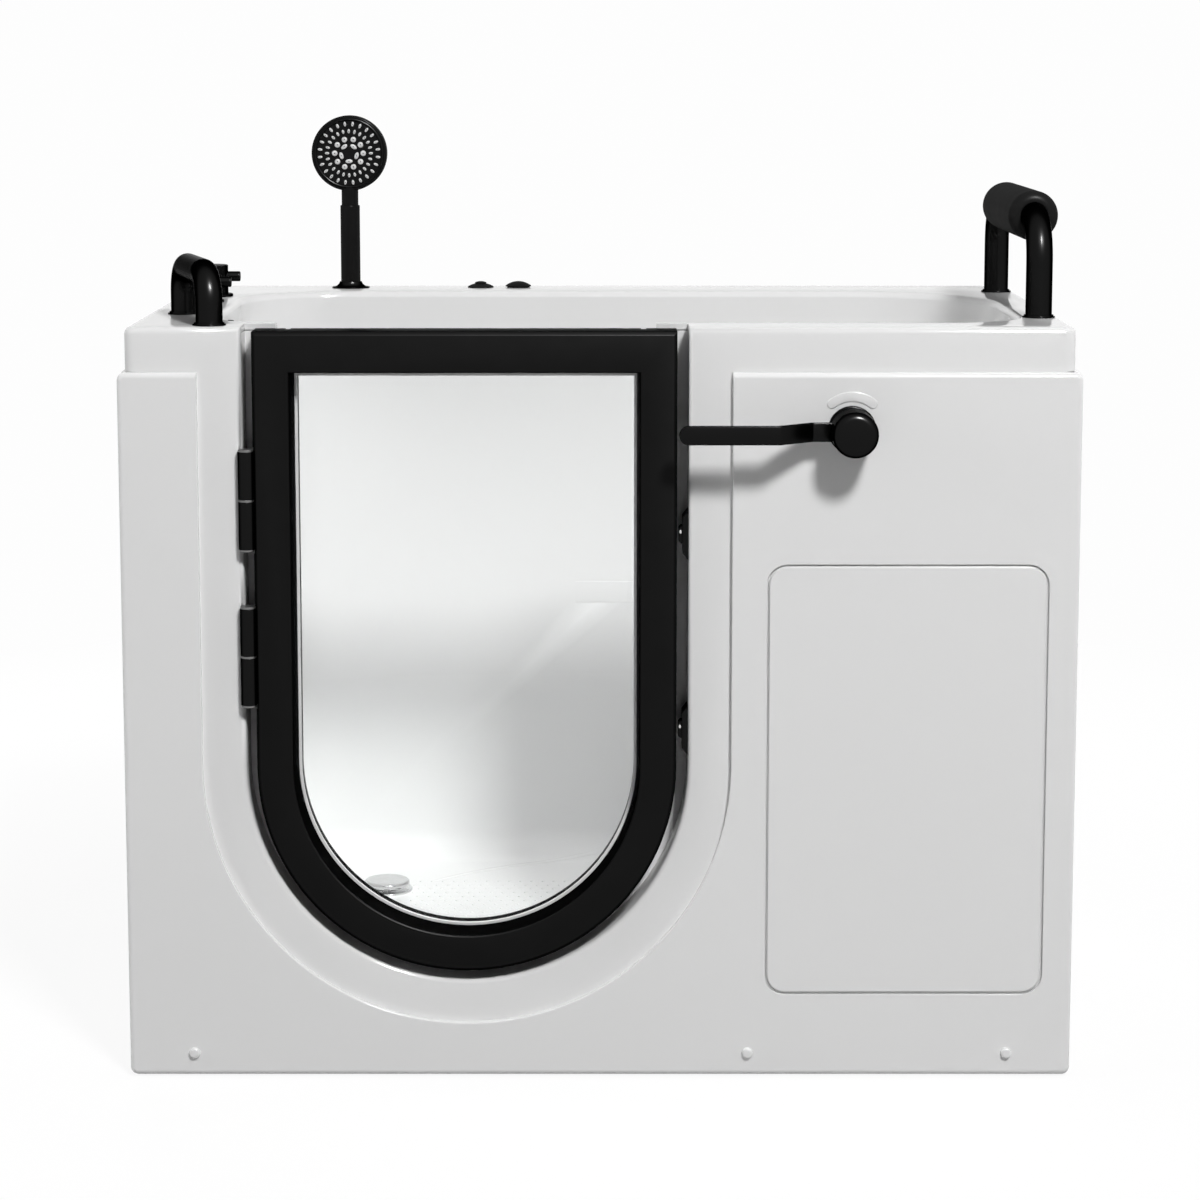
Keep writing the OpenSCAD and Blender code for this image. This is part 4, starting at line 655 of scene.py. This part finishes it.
# hole sizes and holeRise shape black pills of painted shade that stand for the shaded hole in each nozzle
nozzleSpec = {
    "seed": 3,
    "holeRise": 0.25,
    "rings": [
        {"radius": 42, "count": 24, "size": (7.0, 3.7, 1.8), "hole": (2.3, 2.3), "turn": 7.5},
        {"radius": 31.5, "count": 24, "size": (6.2, 3.6, 1.8), "hole": (2.1, 2.1), "turn": 0},
        {"radius": 20.5, "count": 10, "size": (8.0, 8.0, 2.0), "hole": (3.3, 3.3), "turn": 0},
        {"radius": 11.5, "count": 5, "size": (5.8, 10.4, 1.8), "hole": (1.8, 4.68), "turn": -90},
    ],
}

nozzleSkin = Finish("nozzleSilicone", ior=1.45)
grey = nozzleSkin.noise(240, 2)
nozzleSkin.drive("Base Color", nozzleSkin.blend(nozzleSkin.spread(grey, 0, 1), tint(0.56), tint(0.7)))
nozzleSkin.drive("Roughness", nozzleSkin.spread(grey, 0.4, 0.6))
nozzleSkin.drive("Normal", nozzleSkin.relief(grey, 0.00002, 0.4))


def addSocket(tree, name, kind, value, low=None, high=None):
    socket = tree.interface.new_socket(name, in_out="INPUT", socket_type=kind)
    socket.default_value = value
    if low is not None:
        socket.min_value, socket.max_value = low, high
    return socket


def addNode(tree, kind, inputs=None, **settings):
    node = tree.nodes.new(kind)
    for key, value in settings.items():
        setattr(node, key, value)
    for key, value in (inputs or {}).items():
        if isinstance(value, bpy.types.NodeSocket):
            tree.links.new(value, node.inputs[key])
        else:
            node.inputs[key].default_value = value
    return node


def newTree(name, rows):
    # an empty geometry tree with its inputs, from rows of (name, kind, value and any limits)
    tree = bpy.data.node_groups.new(name, "GeometryNodeTree")
    tree.is_modifier = True
    for row in rows:
        addSocket(tree, row[0], "NodeSocket" + row[1], *row[2:])
    tree.interface.new_socket("studs", in_out="OUTPUT", socket_type="NodeSocketGeometry")
    return tree, tree.nodes.new("NodeGroupInput").outputs


def pill(tree, segments, length, width, height):
    # one flattened ball, sized by three sockets
    ball = addNode(tree, "GeometryNodeMeshUVSphere", {"Segments": segments, "Rings": 8, "Radius": 0.5})
    size = addNode(tree, "ShaderNodeCombineXYZ", {"X": length, "Y": width, "Z": height})
    inputs = {"Geometry": ball.outputs["Mesh"], "Scale": size.outputs[0]}
    return addNode(tree, "GeometryNodeTransform", inputs).outputs[0]


def closeTree(tree, spread, material):
    # turns the instances into one smooth mesh with its material
    real = addNode(tree, "GeometryNodeRealizeInstances", {"Geometry": spread.outputs[0]})
    smooth = addNode(tree, "GeometryNodeSetShadeSmooth", {"Geometry": real.outputs[0]})
    dressed = addNode(tree, "GeometryNodeSetMaterial",
                      {"Geometry": smooth.outputs[0], "Material": material})
    tree.links.new(dressed.outputs[0], tree.nodes.new("NodeGroupOutput").inputs[0])
    return tree


def runTree(tree, values, name):
    # evaluates a tree on an empty mesh and returns the result as a plain mesh
    seedMesh = bpy.data.meshes.new(name)
    holder = bpy.data.objects.new(name, seedMesh)
    scene.collection.objects.link(holder)
    modifier = holder.modifiers.new("tree", "NODES")
    modifier.node_group = tree
    for item in tree.interface.items_tree:
        if item.in_out == "INPUT" and item.name in values:
            modifier[item.identifier] = values[item.name]
    bpy.context.view_layer.update()
    made = bpy.data.meshes.new_from_object(holder.evaluated_get(bpy.context.evaluated_depsgraph_get()))
    made.name = name
    holder.modifiers.remove(modifier)
    bpy.data.objects.remove(holder)
    return made


def ringTree(name, material):
    # small studs round a circle, each a flattened rounded pill lying along the radius
    tree, given = newTree(name, [("count", "Int", 24, 1, 400), ("ringRadius", "Float", 0.04),
                                 ("studLength", "Float", 0.005), ("studWidth", "Float", 0.002),
                                 ("studHeight", "Float", 0.001), ("seed", "Int", 0)])
    circle = addNode(tree, "GeometryNodeMeshCircle",
                     {"Vertices": given["count"], "Radius": given["ringRadius"]})
    stud = pill(tree, 16, given["studLength"], given["studWidth"], given["studHeight"])
    where = tree.nodes.new("GeometryNodeInputPosition")
    outward = addNode(tree, "FunctionNodeAlignRotationToVector", {"Vector": where.outputs[0]}, axis="X")
    wobble = addNode(tree, "FunctionNodeRandomValue", {"Seed": given["seed"]}, data_type="FLOAT")
    wobble.inputs[2].default_value, wobble.inputs[3].default_value = -0.02, 0.02
    about = addNode(tree, "FunctionNodeAxisAngleToRotation", {"Angle": wobble.outputs[1]})
    both = addNode(tree, "FunctionNodeRotateRotation", {0: outward.outputs[0], 1: about.outputs[0]},
                   rotation_space="LOCAL")
    spread = addNode(tree, "GeometryNodeInstanceOnPoints",
                     {"Points": circle.outputs[0], "Instance": stud, "Rotation": both.outputs[0]})
    return closeTree(tree, spread, material)


def joinMeshes(parts, name):
    # parts are (mesh, matrix, material) and keep one slot for each material
    materials = []
    work = bmesh.new()
    for mesh, matrix, material in parts:
        if material not in materials:
            materials.append(material)
        start = len(work.verts), len(work.faces)
        work.from_mesh(mesh)
        work.verts.ensure_lookup_table()
        work.faces.ensure_lookup_table()
        bmesh.ops.transform(work, matrix=matrix, verts=work.verts[start[0]:])
        for face in work.faces[start[1]:]:
            face.material_index = materials.index(material)
    made = bpy.data.meshes.new(name)
    work.to_mesh(made)
    work.free()
    for material in materials:
        made.materials.append(material)
    return made


def sprayNozzles():
    low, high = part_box("shower_face")
    centre = (low + high) / 2
    face = Matrix.Translation((centre.x, low.y, centre.z)) @ Matrix.Rotation(math.radians(90), 4, "X")
    tree = ringTree("nozzleRing", nozzleSkin.material)
    parts = []
    for row in nozzleSpec["rings"]:
        length, width, height = row["size"]
        values = {"count": row["count"], "ringRadius": row["radius"] / 1000, "studLength": length / 1000,
                  "studWidth": width / 1000, "studHeight": height / 1000, "seed": nozzleSpec["seed"]}
        place = face @ Matrix.Rotation(math.radians(row["turn"]), 4, "Z")
        parts.append((runTree(tree, values, "nozzleRing"), place, nozzleSkin.material))
        # each nozzle also gets a slightly prouder black pill in the black plastic finish: painted shade
        # where the nozzle's hole is, not a real black part
        values.update({"studLength": row["hole"][0] / 1000, "studWidth": row["hole"][1] / 1000,
                       "studHeight": (height + nozzleSpec["holeRise"]) / 1000})
        parts.append((runTree(tree, values, "nozzleHoleShade"), place, finishes["black_plastic"]))
    return addDressedMesh("sprayNozzles", joinMeshes(parts, "sprayNozzles"), "handset")


bezelSpec = {"inner": 46.3, "outer": 50.6, "out": 2.0, "root": 0.8, "sides": 128}


def sprayBezel():
    low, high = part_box("shower_face")
    centre = (low + high) / 2
    inner, outer, out, root = (bezelSpec[key] / 1000 for key in ("inner", "outer", "out", "root"))
    middle, half = (inner + outer) / 2, (outer - inner) / 2
    profile = []
    for degrees in range(0, 181, 15):
        profile.append((middle + polar(half, degrees)[0], polar(out, degrees)[1]))
    profile += [(middle - half, -root), (middle + half, -root), profile[0]]
    mesh = finishMesh(spin(profile, bezelSpec["sides"]), "sprayBezel",
                      Matrix.Rotation(math.radians(90), 4, "X"), (centre.x, low.y, centre.z))
    return addPiece("sprayBezel", mesh, "handset", "black_metal")


sprayNozzles()
sprayBezel()
print("spray nozzles set")


# ---- anti-slip studs on the foot well's floor ----

studSpec = {"left": -268, "right": 52, "front": -172, "back": 138, "floor": 140, "across": 15.6,
            "deep": 19.4, "width": 4.4, "height": 1.1, "seed": 5}


def studTree(name, material):
    tree, given = newTree(name, [("sizeX", "Float", 0.3), ("sizeY", "Float", 0.3),
                                 ("studWidth", "Float", 0.005), ("studHeight", "Float", 0.001),
                                 ("columns", "Int", 10, 2, 200), ("rows", "Int", 10, 2, 200),
                                 ("seed", "Int", 0)])
    grid = addNode(tree, "GeometryNodeMeshGrid",
                   {"Size X": given["sizeX"], "Size Y": given["sizeY"],
                    "Vertices X": given["columns"], "Vertices Y": given["rows"]})
    stud = pill(tree, 12, given["studWidth"], given["studWidth"], given["studHeight"])
    grow = addNode(tree, "FunctionNodeRandomValue", {"Seed": given["seed"]}, data_type="FLOAT")
    grow.inputs[2].default_value, grow.inputs[3].default_value = 0.94, 1.05
    spread = addNode(tree, "GeometryNodeInstanceOnPoints",
                     {"Points": grid.outputs["Mesh"], "Instance": stud, "Scale": grow.outputs[1]})
    return closeTree(tree, spread, material)


def floorStuds():
    # two grids, set half a step apart
    spec = studSpec
    columns = int((spec["right"] - spec["left"]) / spec["across"])
    rows = int((spec["back"] - spec["front"]) / spec["deep"] / 2)
    values = {"sizeX": (columns - 1) * spec["across"] / 1000, "sizeY": (rows - 1) * 2 * spec["deep"] / 1000,
              "columns": columns, "rows": rows, "studWidth": spec["width"] / 1000,
              "studHeight": 2 * spec["height"] / 1000, "seed": spec["seed"]}
    made = runTree(studTree("floorStuds", finishes["acrylic"]), values, "floorStuds")
    middle = Vector(millimetres((spec["left"] + spec["right"]) / 2, (spec["front"] + spec["back"]) / 2,
                                spec["floor"]))
    step = Vector(millimetres(spec["across"] / 4, spec["deep"] / 2, 0))
    parts = [(made, Matrix.Translation(middle + side * step), finishes["acrylic"]) for side in (-1, 1)]
    return addDressedMesh("floorStuds", joinMeshes(parts, "floorStuds"), "tub")


floorStuds()
print("floor studs set")


# ---- bare crescent plate above the latch hub ----

plateSpec = {"inner": 35.0, "outer": 47.5, "half": 38.0, "steps": 40, "endSteps": 12,
             "layers": ((0, -0.1), (0, 0.45), (0.25, 0.65), (0.6, 0.7))}


def arcOutline(inner, outer, half):
    # points of a curved bar with round ends, anticlockwise seen from the front
    middle, radius = (inner + outer) / 2, (outer - inner) / 2
    steps, endSteps = plateSpec["steps"], plateSpec["endSteps"]
    points = [polar(outer, 90 - half + 2 * half * i / steps) for i in range(steps + 1)]
    for end, turn in ((90 + half, 90 + half), (90 - half, 270 - half)):
        centre = polar(middle, end)
        for i in range(1, endSteps):
            x, z = polar(radius, turn + 180 * i / endSteps)
            points.append((centre[0] + x, centre[1] + z))
        if end > 90:
            points += [polar(inner, 90 + half - 2 * half * i / steps) for i in range(steps + 1)]
    return points


def crescentPlate():
    spec = plateSpec
    low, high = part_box("lever_hub")
    centre = ((low.x + high.x) / 2, (low.z + high.z) / 2)
    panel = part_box("front_apron")[0].y
    work = bmesh.new()
    rings = []
    for inset, out in spec["layers"]:
        outline = arcOutline(spec["inner"] + inset, spec["outer"] - inset, spec["half"] - inset * 1.2)
        y = panel - out / 1000
        rings.append([work.verts.new((centre[0] + x / 1000, y, centre[1] + z / 1000)) for x, z in outline])
    count = len(rings[0])
    for first, second in zip(rings, rings[1:]):
        for i in range(count):
            j = (i + 1) % count
            work.faces.new((first[i], first[j], second[j], second[i]))
    work.faces.new(rings[-1])
    work.faces.new(list(reversed(rings[0])))
    return addPiece("crescentPlate", finishMesh(work, "crescentPlate"), "tub", "panel_acrylic")


crescentPlate()
print("crescent plate set")


# ---- faint ledge across the well's floor ----

ledgeSpec = {"centre": (75, -192), "radius": 434, "from": 97, "to": 136, "width": 9, "height": 1.3,
             "sunk": 0.1, "castFrom": 500, "steps": 60, "sides": 8, "smooth": 60}


def floorLedge():
    spec = ledgeSpec
    rays = shellRays()
    work = bmesh.new()
    rows = []
    steps, sides = spec["steps"], spec["sides"]
    for i in range(steps + 1):
        t = i / steps
        turn = spec["from"] + (spec["to"] - spec["from"]) * t
        swell = math.sin(math.pi * min(max(t, 0.02), 0.98)) ** 0.4
        row = []
        for j in range(sides + 1):
            across, up = polar(swell, 180 * j / sides)
            out = polar(spec["radius"] + spec["width"] / 2 * across, turn)
            x, y = millimetres(spec["centre"][0] + out[0], spec["centre"][1] + out[1])
            ground = rays.ray_cast(Vector((x, y, spec["castFrom"] / 1000)), Vector((0, 0, -1)))[0].z
            row.append(work.verts.new((x, y, ground + (spec["height"] * up - spec["sunk"]) / 1000)))
        rows.append(row)
    for first, second in zip(rows, rows[1:]):
        for j in range(sides):
            work.faces.new((first[j], second[j], second[j + 1], first[j + 1]))
    return addPiece("floorLedge", finishMesh(work, "floorLedge", smooth=spec["smooth"]), "tub", "acrylic")


floorLedge()
print("floor ledge set")


# ---- end ----

print("scene finished")
